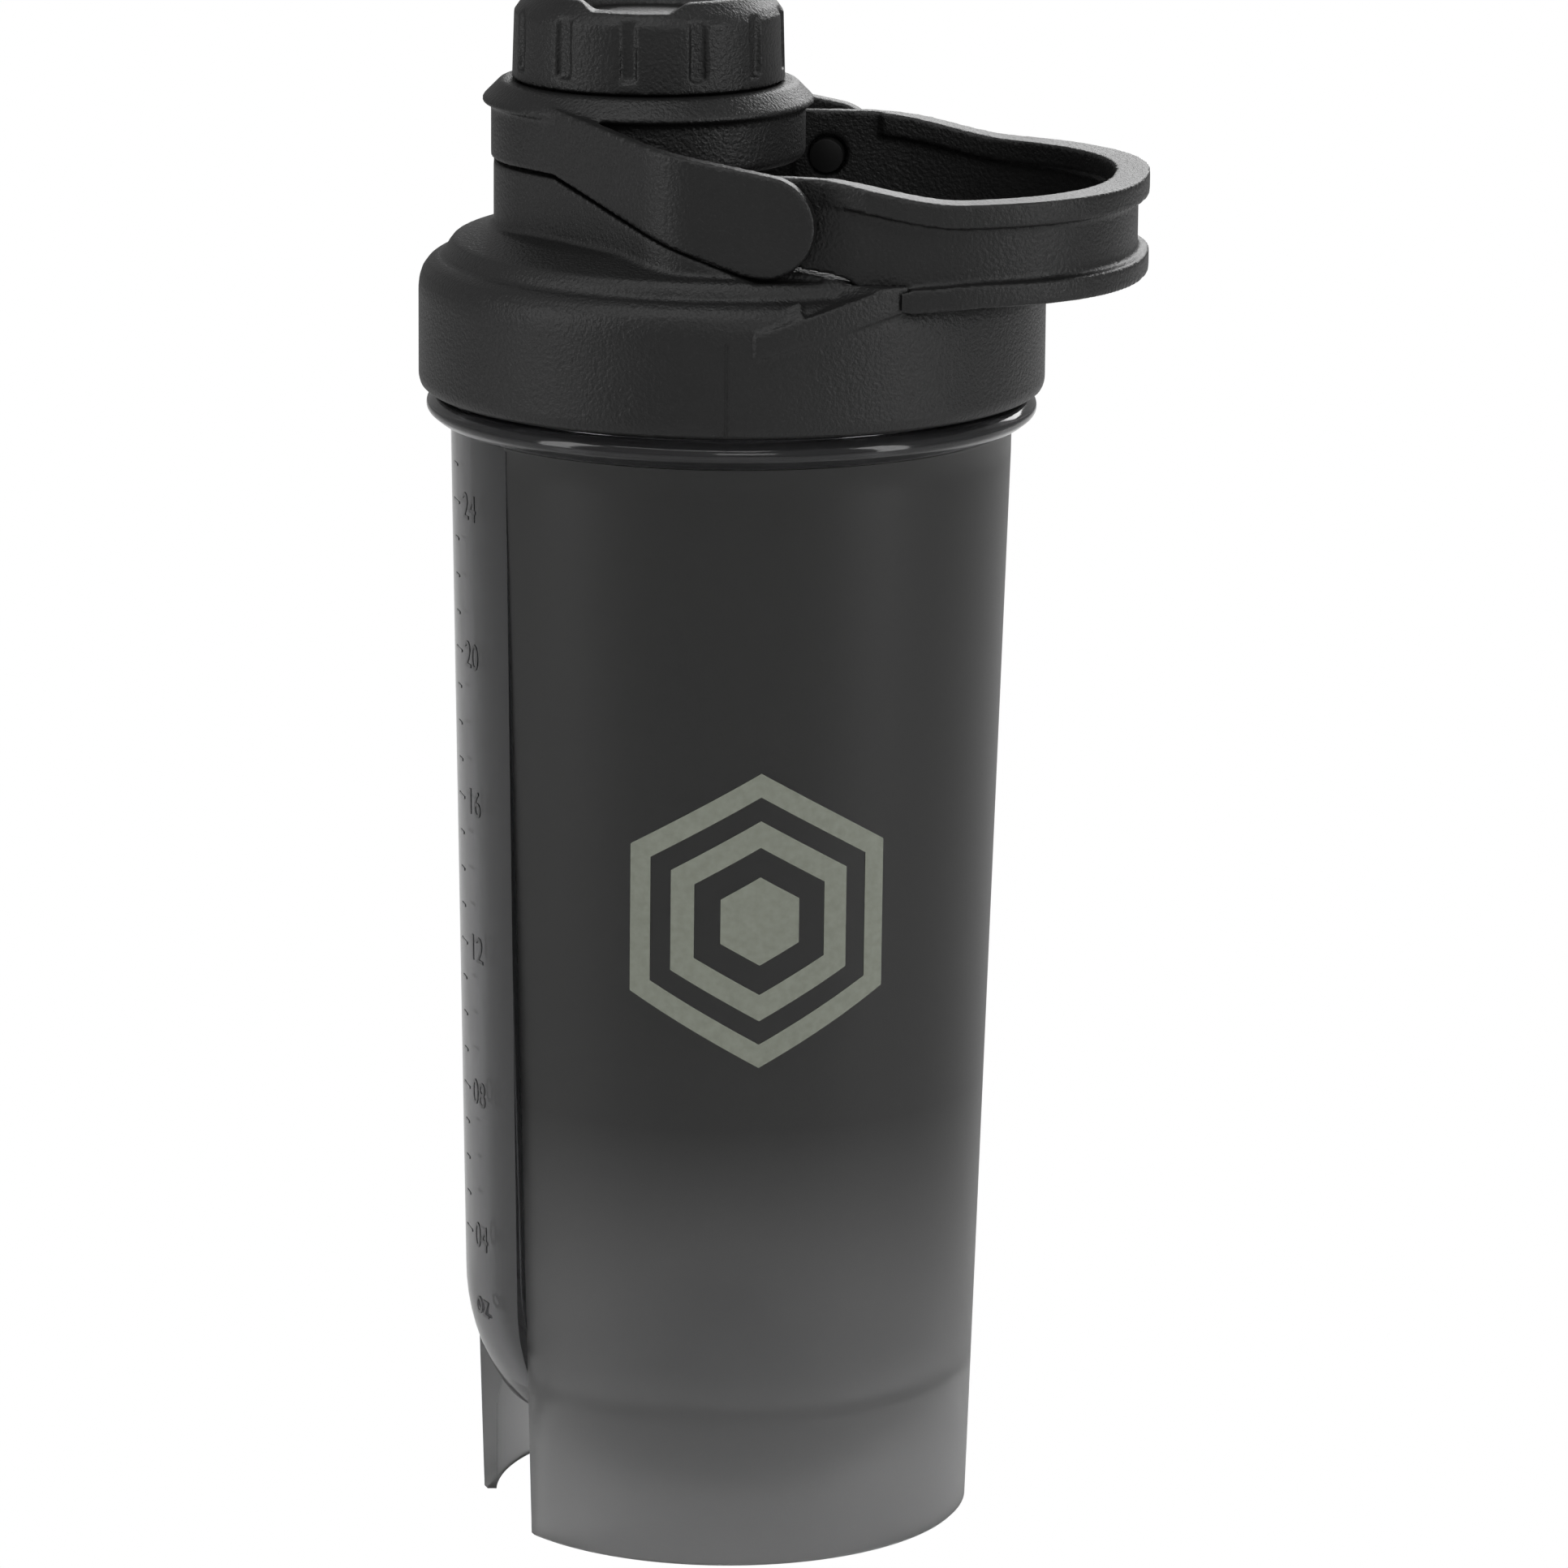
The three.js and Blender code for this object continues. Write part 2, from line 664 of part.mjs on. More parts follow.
const bottle = new THREE.Group();
bottle.position.x = -footprintShift;
bottle.add(piece("cup_base", cupBase(), smoke, 0.5));
bottle.add(piece("cup_wall", cupWallTube(), smoke, 0.5));
bottle.add(piece("lid_shell", lidShell(), black, 0.6));
bottle.add(piece("carry_loop", carryLoop(), black, 0.6));
bottle.add(piece("spout", spout(), black, 0.5));
bottle.add(piece("lid_gasket", lidGasket(), seal, 0.8));
bottle.add(piece("flip_arm", flipArm(), black, 0.6));
bottle.add(piece("pivot_pin_near", pivotPin(-1), black, 0.5));
bottle.add(piece("pivot_pin_far", pivotPin(1), black, 0.5));
bottle.add(piece("screw_cap", screwCap(), black, 0.6));
bottle.add(piece("cap_retainer", capRetainer(), black, 0.5));
bottle.add(piece("cap_liner", capLiner(), seal, 0.8));
bottle.add(piece("mixing_ball", mixingBall(), "#9a9a9a", 0.3));

export default bottle;
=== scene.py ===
import bpy
import bmesh
import math
from mathutils import Matrix, Vector


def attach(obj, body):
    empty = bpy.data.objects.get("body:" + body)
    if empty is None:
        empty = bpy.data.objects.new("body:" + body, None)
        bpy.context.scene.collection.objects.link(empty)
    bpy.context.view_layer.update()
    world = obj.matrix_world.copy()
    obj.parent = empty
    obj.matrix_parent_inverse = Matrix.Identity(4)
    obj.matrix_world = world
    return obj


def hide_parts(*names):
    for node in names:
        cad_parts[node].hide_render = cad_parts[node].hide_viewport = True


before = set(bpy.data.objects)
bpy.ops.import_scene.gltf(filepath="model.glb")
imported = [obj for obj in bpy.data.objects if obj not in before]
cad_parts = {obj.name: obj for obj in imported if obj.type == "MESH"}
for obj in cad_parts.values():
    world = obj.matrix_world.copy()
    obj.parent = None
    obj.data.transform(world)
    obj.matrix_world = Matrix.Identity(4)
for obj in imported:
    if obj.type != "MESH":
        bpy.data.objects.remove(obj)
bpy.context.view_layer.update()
print("frame loaded")

# Sizes are in millimetres about the bottle's own axis, and each finished piece is moved into the frame once.
layout = {
    "axisShift": -7.75,   # the bottle's axis, from the origin under the middle of the footprint
    "fineSteps": 160,     # sides of a turned piece
    "gap": 0.3,
}

mm = 0.001   # one millimetre, in the metres of the frame

levels = {
    "beadTop": 177.1,
    "skirtBottom": 177.7,
    "rimTop": 186.1,
    "gasketTop": 187.7,
    "skirtTop": 193.0,
    "stepTop": 198.4,
    "domeEdge": 204.6,
    "pivot": 208.6,
    "seatTop": 212.2,
    "ringBottom": 212.8,
    "flangeBase": 221.2,
    "ringTop": 224.6,
    "capBase": 224.9,
}


cameraValues = {
    "distance": 1216.5, "height": 397.1,   # from the bottle's axis and above the table
    "pitch": 0.228, "yaw": 0.007, "roll": 0.0082,
    "turn": 8.0,                           # degrees round the bottle from straight in front
    "lens": 184.75,
}


def addCamera(v):
    cosP, sinP = math.cos(v["pitch"]), math.sin(v["pitch"])
    cosY, sinY = math.cos(v["yaw"]), math.sin(v["yaw"])
    cosR, sinR = math.cos(v["roll"]), math.sin(v["roll"])
    ahead = Vector((sinY * cosP, cosY * cosP, -sinP))
    level = Vector((cosY, -sinY, 0))
    above = level.cross(ahead)
    right = cosR * level + sinR * above
    up = -sinR * level + cosR * above
    turn = Matrix.Rotation(math.radians(v["turn"]), 3, "Z")
    basis = Matrix((turn @ right, turn @ up, turn @ -ahead)).transposed().to_4x4()
    place = turn @ Vector((0, -v["distance"], v["height"])) + Vector((layout["axisShift"], 0, 0))
    basis.translation = place * mm
    data = bpy.data.cameras.new("camera")
    data.lens = v["lens"]
    data.sensor_width = 36
    data.clip_start, data.clip_end = 0.05, 20
    camera = bpy.data.objects.new("camera", data)
    bpy.context.scene.collection.objects.link(camera)
    camera.matrix_world = basis
    bpy.context.scene.camera = camera


addCamera(cameraValues)


def addMesh(name, verts, faces):
    mesh = bpy.data.meshes.new(name)
    mesh.from_pydata(verts, [], faces)
    shape = bmesh.new()
    shape.from_mesh(mesh)
    bmesh.ops.triangulate(shape, faces=[f for f in shape.faces if len(f.verts) > 4])
    bmesh.ops.recalc_face_normals(shape, faces=shape.faces)
    shape.to_mesh(mesh)
    shape.free()
    piece = bpy.data.objects.new(name, mesh)
    bpy.context.scene.collection.objects.link(piece)
    return piece


# radius, height pairs, closed, spun about +Z
def turned(points, centreX=0.0, steps=None):
    steps = steps or layout["fineSteps"]
    verts, rings = [], []
    for radius, height in points:
        if radius < 1e-6:
            rings.append([len(verts)])
            verts.append((centreX, 0, height))
            continue
        rings.append(list(range(len(verts), len(verts) + steps)))
        for i in range(steps):
            angle = 2 * math.pi * i / steps
            verts.append((centreX + radius * math.cos(angle), radius * math.sin(angle), height))
    faces = []
    for a, b in zip(rings, rings[1:] + rings[:1]):
        if len(a) == 1 and len(b) == 1:
            continue
        for i in range(steps):
            j = (i + 1) % steps
            if len(a) == 1:
                faces.append((a[0], b[i], b[j]))
            elif len(b) == 1:
                faces.append((a[i], a[j], b[0]))
            else:
                faces.append((a[i], a[j], b[j], b[i]))
    return addMesh("turned", verts, faces)


# an outline carried along Z (plan), Y (side) or X (front)
def prism(points, low, high, view="plan"):
    place = {
        "plan": lambda u, v, w: (u, v, w),
        "side": lambda u, v, w: (u, w, v),
        "front": lambda u, v, w: (w, u, v),
    }[view]
    count = len(points)
    verts = [place(u, v, low) for u, v in points] + [place(u, v, high) for u, v in points]
    sides = [(i, (i + 1) % count, count + (i + 1) % count, count + i) for i in range(count)]
    return addMesh("prism", verts, sides + [tuple(range(count)), tuple(range(count, 2 * count))])


def rod(radius, low, high, centre, view="plan", steps=64):
    outline = [(centre[0] + radius * math.cos(2 * math.pi * i / steps),
                centre[1] + radius * math.sin(2 * math.pi * i / steps)) for i in range(steps)]
    return prism(outline, low, high, view)


# the piece with its modifiers made real
def baked(piece):
    graph = bpy.context.evaluated_depsgraph_get()
    mesh = bpy.data.meshes.new_from_object(piece.evaluated_get(graph))
    piece.modifiers.clear()
    piece.data = mesh
    return piece


def combine(piece, other, operation):
    step = piece.modifiers.new("combine", "BOOLEAN")
    step.operation = operation
    step.solver = "MANIFOLD"
    step.object = other
    baked(piece)
    bpy.data.objects.remove(other)
    return piece


def join(piece, *others):
    for other in others:
        combine(piece, other, "UNION")
    return piece


def cut(piece, *others):
    for other in others:
        combine(piece, other, "DIFFERENCE")
    return piece


def keep(piece, *others):
    for other in others:
        combine(piece, other, "INTERSECT")
    return piece


def copied(piece):
    twin = piece.copy()
    twin.data = piece.data.copy()
    bpy.context.scene.collection.objects.link(twin)
    return twin


# a mirror copy on the far side of the bottle
def flipped(piece):
    twin = copied(piece)
    twin.data.transform(Matrix.Scale(-1, 4, (0, 1, 0)))
    twin.data.flip_normals()
    return twin


# one skin with the soft edges of a moulding: remeshed at a grain, then relaxed
def moulded(piece, grain, passes):
    skin = piece.modifiers.new("skin", "REMESH")
    skin.mode = "VOXEL"
    skin.voxel_size = grain
    skin.adaptivity = 0
    relax = piece.modifiers.new("relax", "SMOOTH")
    relax.factor = 0.5
    relax.iterations = passes
    return baked(piece)


# into the frame, shaded, dressed and set riding
def finished(piece, name, material, body, nodes, sharp=None):
    move = Matrix.Scale(mm, 4) @ Matrix.Translation((layout["axisShift"], 0, 0))
    piece.data.transform(move)
    piece.name = piece.data.name = name
    piece.data.materials.clear()
    piece.data.materials.append(material)
    piece.data.polygons.foreach_set("use_smooth", [True] * len(piece.data.polygons))
    piece.data.polygons.foreach_set("material_index", [0] * len(piece.data.polygons))
    if sharp:
        piece.data.set_sharp_from_angle(angle=math.radians(sharp))
    piece.data.update()
    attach(piece, body)
    if nodes:
        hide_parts(*nodes)
    print("made", name, len(piece.data.polygons), "faces")
    return piece


def arc(centre, radius, start, stop, steps):
    spots = []
    for i in range(steps + 1):
        angle = math.radians(start + (stop - start) * i / steps)
        spots.append((centre[0] + radius * math.cos(angle), centre[1] + radius * math.sin(angle)))
    return spots


def mirrored(points):
    return [(x, -y) for x, y in reversed(points)]


# the corners of a closed outline rounded to a radius
def softened(points, radius, steps=4):
    out, count = [], len(points)
    for i, here in enumerate(points):
        before, after = Vector(points[i - 1]), Vector(points[(i + 1) % count])
        spot = Vector(here)
        back, ahead = before - spot, after - spot
        if spot[0] < 1e-6 or back.length < 1e-6 or ahead.length < 1e-6:
            out.append(tuple(spot))
            continue
        reach = min(radius, back.length * 0.45, ahead.length * 0.45)
        first, last = spot + back.normalized() * reach, spot + ahead.normalized() * reach
        for k in range(steps + 1):
            t = k / steps
            out.append(tuple(first * (1 - t) ** 2 + spot * 2 * t * (1 - t) + last * t * t))
    return out


def linear(code):
    channels = [int(code[i:i + 2], 16) / 255 for i in (1, 3, 5)]
    return [c / 12.92 if c <= 0.04045 else ((c + 0.055) / 1.055) ** 2.4 for c in channels] + [1.0]


# one node, its settings and what feeds it
def addNode(tree, kind, links=None, **settings):
    node = tree.nodes.new(kind)
    for key, value in settings.items():
        if key in node.inputs:
            node.inputs[key].default_value = value
        else:
            setattr(node, key, value)
    for key, source in (links or {}).items():
        tree.links.new(source, node.inputs[key])
    return node


# a Geometry Nodes group with named inputs: the group, the sockets' identifiers and what it is given
def newTree(name, inputs):
    tree = bpy.data.node_groups.new(name, "GeometryNodeTree")
    sockets = {}
    for label, kind in inputs.items():
        socket = tree.interface.new_socket(name=label, in_out="INPUT", socket_type="NodeSocket" + kind)
        sockets[label] = socket.identifier
    tree.interface.new_socket(name="Geometry", in_out="OUTPUT", socket_type="NodeSocketGeometry")
    return tree, sockets, addNode(tree, "NodeGroupInput").outputs


# instances made real, given their material and sent out of the group
def closeTree(tree, instances, finish):
    real = addNode(tree, "GeometryNodeRealizeInstances", {0: instances})
    dressed = addNode(tree, "GeometryNodeSetMaterial", {0: real.outputs[0], "Material": finish})
    out = addNode(tree, "NodeGroupOutput")
    tree.links.new(dressed.outputs[0], out.inputs[0])


# what a group makes from its values, as a plain mesh
def grown(name, tree, sockets, values):
    piece = addMesh(name, [], [])
    grow = piece.modifiers.new(name, "NODES")
    grow.node_group = tree
    for label, value in values.items():
        grow[sockets[label]] = value
    return baked(piece)


def newMaterial(name, values):
    material = bpy.data.materials.new(name)
    material.use_nodes = True
    tree = material.node_tree
    shader = tree.nodes["Principled BSDF"]
    for key, value in values.items():
        shader.inputs[key].default_value = value
    place = addNode(tree, "ShaderNodeTexCoord").outputs["Object"]
    return material, tree, shader, place


def perMillimetre(size):
    return 1000.0 / size   # a noise scale whose features are this many millimetres across


# Black polypropylene, injection moulded in a spark-eroded tool: satin, finely pebbled, dusty in highlights.
def sparkErodedBlack(name, values):
    material, tree, shader, place = newMaterial(name, {"IOR": 1.49, "Metallic": 0.0})
    pebble = addNode(tree, "ShaderNodeTexNoise", {"Vector": place}, Scale=perMillimetre(values["pebble"]),
                     Detail=2.0, Roughness=0.55)
    cloud = addNode(tree, "ShaderNodeTexNoise", {"Vector": place}, Scale=perMillimetre(values["cloud"]),
                    Detail=4.0, Roughness=0.6)
    tone = addNode(tree, "ShaderNodeValToRGB", {"Fac": cloud.outputs["Fac"]})
    tone.color_ramp.elements[0].position = 0.35
    tone.color_ramp.elements[0].color = linear(values["dark"])
    tone.color_ramp.elements[1].position = 0.7
    tone.color_ramp.elements[1].color = linear(values["light"])
    tree.links.new(tone.outputs["Color"], shader.inputs["Base Color"])
    gloss = addNode(tree, "ShaderNodeMapRange", {"Value": cloud.outputs["Fac"]})
    gloss.inputs["To Min"].default_value = values["rough"] - 0.05
    gloss.inputs["To Max"].default_value = values["rough"] + 0.07
    tree.links.new(gloss.outputs["Result"], shader.inputs["Roughness"])
    relief = addNode(tree, "ShaderNodeBump", {"Height": pebble.outputs["Fac"]}, Strength=values["relief"],
                     Distance=values["depth"] * mm)
    tree.links.new(relief.outputs["Normal"], shader.inputs["Normal"])
    return material


# Smoke-tinted polypropylene, blow moulded in a sandblasted tool: light passes but nothing shows sharply. Its
# base colour carries painted light: lighter at the foot, darker up the wall.
def frostedSmoke(name, values):
    material, tree, shader, place = newMaterial(name, {
        "IOR": 1.49, "Metallic": 0.0, "Transmission Weight": values["clear"]})
    # painted light and shade: the base colour runs by height from a light foot to a dark upper wall, standing
    # in for light through the foot
    height = addNode(tree, "ShaderNodeSeparateXYZ", {"Vector": place})
    rise = addNode(tree, "ShaderNodeMapRange", {"Value": height.outputs["Z"]})
    rise.inputs["From Min"].default_value = 0.0
    rise.inputs["From Max"].default_value = values["paintedLightFadeTop"] * mm
    tone = addNode(tree, "ShaderNodeValToRGB", {"Fac": rise.outputs["Result"]})
    stops = tone.color_ramp.elements
    stops[0].position, stops[0].color = 0.0, linear(values["foot"])
    stops[1].position, stops[1].color = 1.0, linear(values["wall"])
    middle = stops.new(0.45)
    middle.color = linear(values["middle"])
    tree.links.new(tone.outputs["Color"], shader.inputs["Base Color"])
    frost = addNode(tree, "ShaderNodeTexNoise", {"Vector": place}, Scale=perMillimetre(values["frost"]),
                    Detail=3.0, Roughness=0.5)
    gloss = addNode(tree, "ShaderNodeMapRange", {"Value": frost.outputs["Fac"]})
    gloss.inputs["To Min"].default_value = values["rough"] - 0.04
    gloss.inputs["To Max"].default_value = values["rough"] + 0.05
    tree.links.new(gloss.outputs["Result"], shader.inputs["Roughness"])
    relief = addNode(tree, "ShaderNodeBump", {"Height": frost.outputs["Fac"]}, Strength=values["relief"],
                     Distance=0.00003)
    tree.links.new(relief.outputs["Normal"], shader.inputs["Normal"])
    return material


# The same polypropylene where the tool was polished: clear, wet-looking, with a slow ripple.
def polishedSmoke(name, values):
    material, tree, shader, place = newMaterial(name, {
        "IOR": 1.49, "Metallic": 0.0, "Transmission Weight": values["clear"],
        "Base Color": linear(values["tint"])})
    ripple = addNode(tree, "ShaderNodeTexNoise", {"Vector": place}, Scale=perMillimetre(values["ripple"]),
                     Detail=1.5, Roughness=0.5)
    gloss = addNode(tree, "ShaderNodeMapRange", {"Value": ripple.outputs["Fac"]})
    gloss.inputs["To Min"].default_value = values["rough"]
    gloss.inputs["To Max"].default_value = values["rough"] + 0.06
    tree.links.new(gloss.outputs["Result"], shader.inputs["Roughness"])
    relief = addNode(tree, "ShaderNodeBump", {"Height": ripple.outputs["Fac"]}, Strength=0.25,
                     Distance=0.0003)
    tree.links.new(relief.outputs["Normal"], shader.inputs["Normal"])
    return material


# Opaque screen-printed ink: flat, slightly mottled by the mesh, a touch of sheen.
def screenInk(name, values):
    material, tree, shader, place = newMaterial(name, {"IOR": 1.5, "Metallic": 0.0})
    mottle = addNode(tree, "ShaderNodeTexNoise", {"Vector": place}, Scale=perMillimetre(values["mottle"]),
                     Detail=3.0)
    tone = addNode(tree, "ShaderNodeValToRGB", {"Fac": mottle.outputs["Fac"]})
    tone.color_ramp.elements[0].position = 0.3
    tone.color_ramp.elements[0].color = linear(values["dark"])
    tone.color_ramp.elements[1].position = 0.7
    tone.color_ramp.elements[1].color = linear(values["light"])
    tree.links.new(tone.outputs["Color"], shader.inputs["Base Color"])
    shader.inputs["Roughness"].default_value = 0.55
    return material


# Stainless wire, drawn and then polished: bright with fine streaks.
def drawnSteel(name):
    material, tree, shader, place = newMaterial(name, {"Metallic": 1.0})
    streak = addNode(tree, "ShaderNodeTexNoise", {"Vector": place}, Scale=perMillimetre(0.8), Detail=2.0)
    tone = addNode(tree, "ShaderNodeValToRGB", {"Fac": streak.outputs["Fac"]})
    tone.color_ramp.elements[0].color = linear("#8d8f92")
    tone.color_ramp.elements[1].color = linear("#c9cbce")
    tree.links.new(tone.outputs["Color"], shader.inputs["Base Color"])
    gloss = addNode(tree, "ShaderNodeMapRange", {"Value": streak.outputs["Fac"]})
    gloss.inputs["To Min"].default_value = 0.18
    gloss.inputs["To Max"].default_value = 0.34
    tree.links.new(gloss.outputs["Result"], shader.inputs["Roughness"])
    return material


blackLid = sparkErodedBlack("blackLidPolypropylene", {
    "pebble": 0.55, "cloud": 26.0, "dark": "#101010", "light": "#171717", "rough": 0.42,
    "relief": 0.9, "depth": 0.2})
blackSmooth = sparkErodedBlack("blackSmoothPolypropylene", {
    "pebble": 0.3, "cloud": 18.0, "dark": "#101010", "light": "#161616", "rough": 0.36,
    "relief": 0.2, "depth": 0.03})
# foot, middle and wall colours are painted light and shade: a light foot and a dark upper wall, set by height
smokeWall = frostedSmoke("frostedSmokePolypropylene", {
    "wall": "#545454", "middle": "#b0b0b0", "foot": "#dedede", "paintedLightFadeTop": 70.0, "clear": 0.88,
    "rough": 0.42, "frost": 0.35, "relief": 0.3})
smokeStrip = polishedSmoke("polishedSmokePolypropylene", {
    "tint": "#6a6a6c", "clear": 0.9, "rough": 0.06, "ripple": 9.0})
sealRubber = sparkErodedBlack("mouldedSilicone", {
    "pebble": 0.5, "cloud": 14.0, "dark": "#151515", "light": "#1c1c1c", "rough": 0.62,
    "relief": 0.15, "depth": 0.03})
emblemInk = screenInk("sageScreenInk", {"mottle": 1.2, "dark": "#84887c", "light": "#8f9387"})
wireSteel = drawnSteel("drawnStainlessWire")
print("materials made")


cup = {
    "footRadius": 38.0, "topRadius": 43.1, "height": 172.5, "wall": 2.1, "footWall": 1.9,
    "bowlClearance": 8.0, "bowlFloor": 2.0, "bowlCorner": 38.0,
    "stripFoot": 40.2, "stripAngle": 207.0, "stripSpan": 38.0,
    "beadRadius": 46.8, "neckThread": 1.1,
}


def wallRadius(height):
    return cup["footRadius"] + (cup["topRadius"] - cup["footRadius"]) * height / cup["height"]


def stripRadius(height):
    return cup["stripFoot"] + (cup["topRadius"] - cup["stripFoot"]) * height / cup["height"]


def bowl(inset, topRadius, lift, steps=20):
    floor = cup["bowlClearance"] + lift
    corner = cup["bowlCorner"] + lift / 2
    reach = topRadius - inset
    points = [(0, floor)]
    for i in range(steps + 1):
        angle = i / steps * math.pi / 2
        points.append((reach * (0.34 + 0.66 * math.sin(angle)), corner - (corner - floor) * math.cos(angle)))
    return points


# a rounded ridge wound up a neck, tapering to nothing at its ends
def neckThread(radius, depth, bottom, pitch, turns, centreX=0.0):
    sides, steps = 8, round(64 * turns)
    verts, faces = [], []
    for i in range(steps + 1):
        t = i / steps
        angle = t * turns * 2 * math.pi
        size = depth * min(1, 12 * t + 0.05, 12 * (1 - t) + 0.05)
        for k in range(sides):
            turn = 2 * math.pi * k / sides
            r = radius + size * math.cos(turn)
            verts.append((centreX + r * math.cos(angle), r * math.sin(angle),
                          bottom + t * turns * pitch + size * math.sin(turn)))
    for i in range(steps):
        for k in range(sides):
            j = (k + 1) % sides
            faces.append((i * sides + k, i * sides + j, (i + 1) * sides + j, (i + 1) * sides + k))
    faces.append(tuple(range(sides)))
    faces.append(tuple(range(steps * sides, (steps + 1) * sides)))
    return addMesh("thread", verts, faces)


def addCup(c, z):
    bead, top = c["beadRadius"], z["beadTop"]
    half = c["stripSpan"] / 2
    reach = bead + 4
    wedgeLine = [(0, 0)] + arc((0, 0), reach, c["stripAngle"] - half, c["stripAngle"] + half, 24)
    sleeve = turned([
        (0, 0), (c["footRadius"] - 0.5, 0), (c["footRadius"], 0.5),
        *[(wallRadius(h), h) for h in range(6, 170, 6)],
        (c["topRadius"] - 0.1, c["height"] - 0.6), (c["topRadius"] + 0.3, c["height"]), (0, c["height"])])
    inside = turned([
        *bowl(c["wall"], wallRadius(c["bowlCorner"]), c["bowlFloor"]),
        (c["topRadius"] - c["wall"], c["height"]), (c["topRadius"] - c["wall"], z["rimTop"] + 1),
        (0, z["rimTop"] + 1)])
    under = bowl(0, wallRadius(c["bowlCorner"]) - c["wall"] / 2, 0)[::-1]
    inner = c["footRadius"] - c["footWall"]
    hollow = turned([(0, -1), (inner, -1), (inner, c["bowlClearance"] + 6),
                     *[p for p in under if p[0] < inner - 1]])
    vessel = turned([*bowl(0, stripRadius(c["bowlCorner"]), 0), (c["topRadius"], c["height"]),
                     (0, c["height"])])
    wedge = prism(wedgeLine, -1, c["height"] + 1)
    pane = keep(copied(vessel), copied(wedge))
    cut(pane, copied(inside), copied(hollow))
    cut(sleeve, wedge, inside, hollow)
    finished(sleeve, "frostedWall", smokeWall, "cup", ["cup_wall", "cup_base"], sharp=35)
    bpy.data.objects.remove(vessel)
    finished(pane, "levelStrip", smokeStrip, "cup", [], sharp=30)
    neck = turned(softened([
        (c["topRadius"] - c["wall"], c["height"] + 0.05), (c["topRadius"] + 0.35, c["height"] + 0.05),
        (bead - 1.7, c["height"] + 0.6), (bead, c["height"] + 2), (bead, top - 1.4), (bead - 1.2, top),
        (c["topRadius"], top), (c["topRadius"], z["rimTop"]), (c["topRadius"] - c["wall"], z["rimTop"]),
    ], 0.9))
    join(neck, neckThread(c["topRadius"] - 0.2, c["neckThread"], top + 1.8, 4, 1.4))
    finished(neck, "beadAndNeck", smokeStrip, "cup", [], sharp=40)


addCup(cup, levels)


marks = {
    "firstHeight": 45.6, "rise": 23.1,         # 04 mark, then each four fluid ounces
    "labels": ["04", "08", "12", "16", "20", "24"],
    "ticks": 23, "unitDrop": 10.6, "fontScale": 1.36,
    "numberAngle": 209.8, "tickAngle": 200.5,
    "letterHeight": 4.3, "tickLong": 4.2, "tickShort": 2.4, "tickThick": 0.4, "proud": 0.1,
}


# bends a flat mesh, x along and y up with z as thickness, round the cup
def wrap(piece, radiusAt, angle, base, lift):
    for vertex in piece.data.vertices:
        along, up, thick = vertex.co
        height = base + up
        radius = radiusAt(height) + lift + thick
        turn = math.radians(angle) + along / radiusAt(height)
        vertex.co = (radius * math.cos(turn), radius * math.sin(turn), height)
    piece.data.update()


# Geometry Nodes: a column of ticks, every fourth one long
def tickTree():
    tree, sockets, given = newTree("fillTicks", {
        "Count": "Int", "Rise": "Float", "Long": "Float", "Short": "Float", "Thick": "Float",
        "Proud": "Float",
        "Finish": "Material"})
    offset = addNode(tree, "ShaderNodeCombineXYZ", {"Y": given["Rise"]})
    column = addNode(tree, "GeometryNodeMeshLine", {"Count": given["Count"], "Offset": offset.outputs[0]})
    index = addNode(tree, "GeometryNodeInputIndex")
    fourth = addNode(tree, "ShaderNodeMath", {0: index.outputs[0]}, operation="MODULO")
    fourth.inputs[1].default_value = 4.0
    isLong = addNode(tree, "ShaderNodeMath", {0: fourth.outputs[0]}, operation="LESS_THAN")
    isLong.inputs[1].default_value = 0.5
    width = addNode(tree, "ShaderNodeMix", {0: isLong.outputs[0], 2: given["Short"], 3: given["Long"]})
    size = addNode(tree, "ShaderNodeCombineXYZ", {"X": width.outputs[0], "Y": given["Thick"],
                                                  "Z": given["Proud"]})
    block = addNode(tree, "GeometryNodeMeshCube")
    block.inputs["Size"].default_value = (1, 1, 1)
    placed = addNode(tree, "GeometryNodeInstanceOnPoints", {
        "Points": column.outputs[0], "Instance": block.outputs[0], "Scale": size.outputs[0]})
    closeTree(tree, placed.outputs[0], given["Finish"])
    return tree, sockets


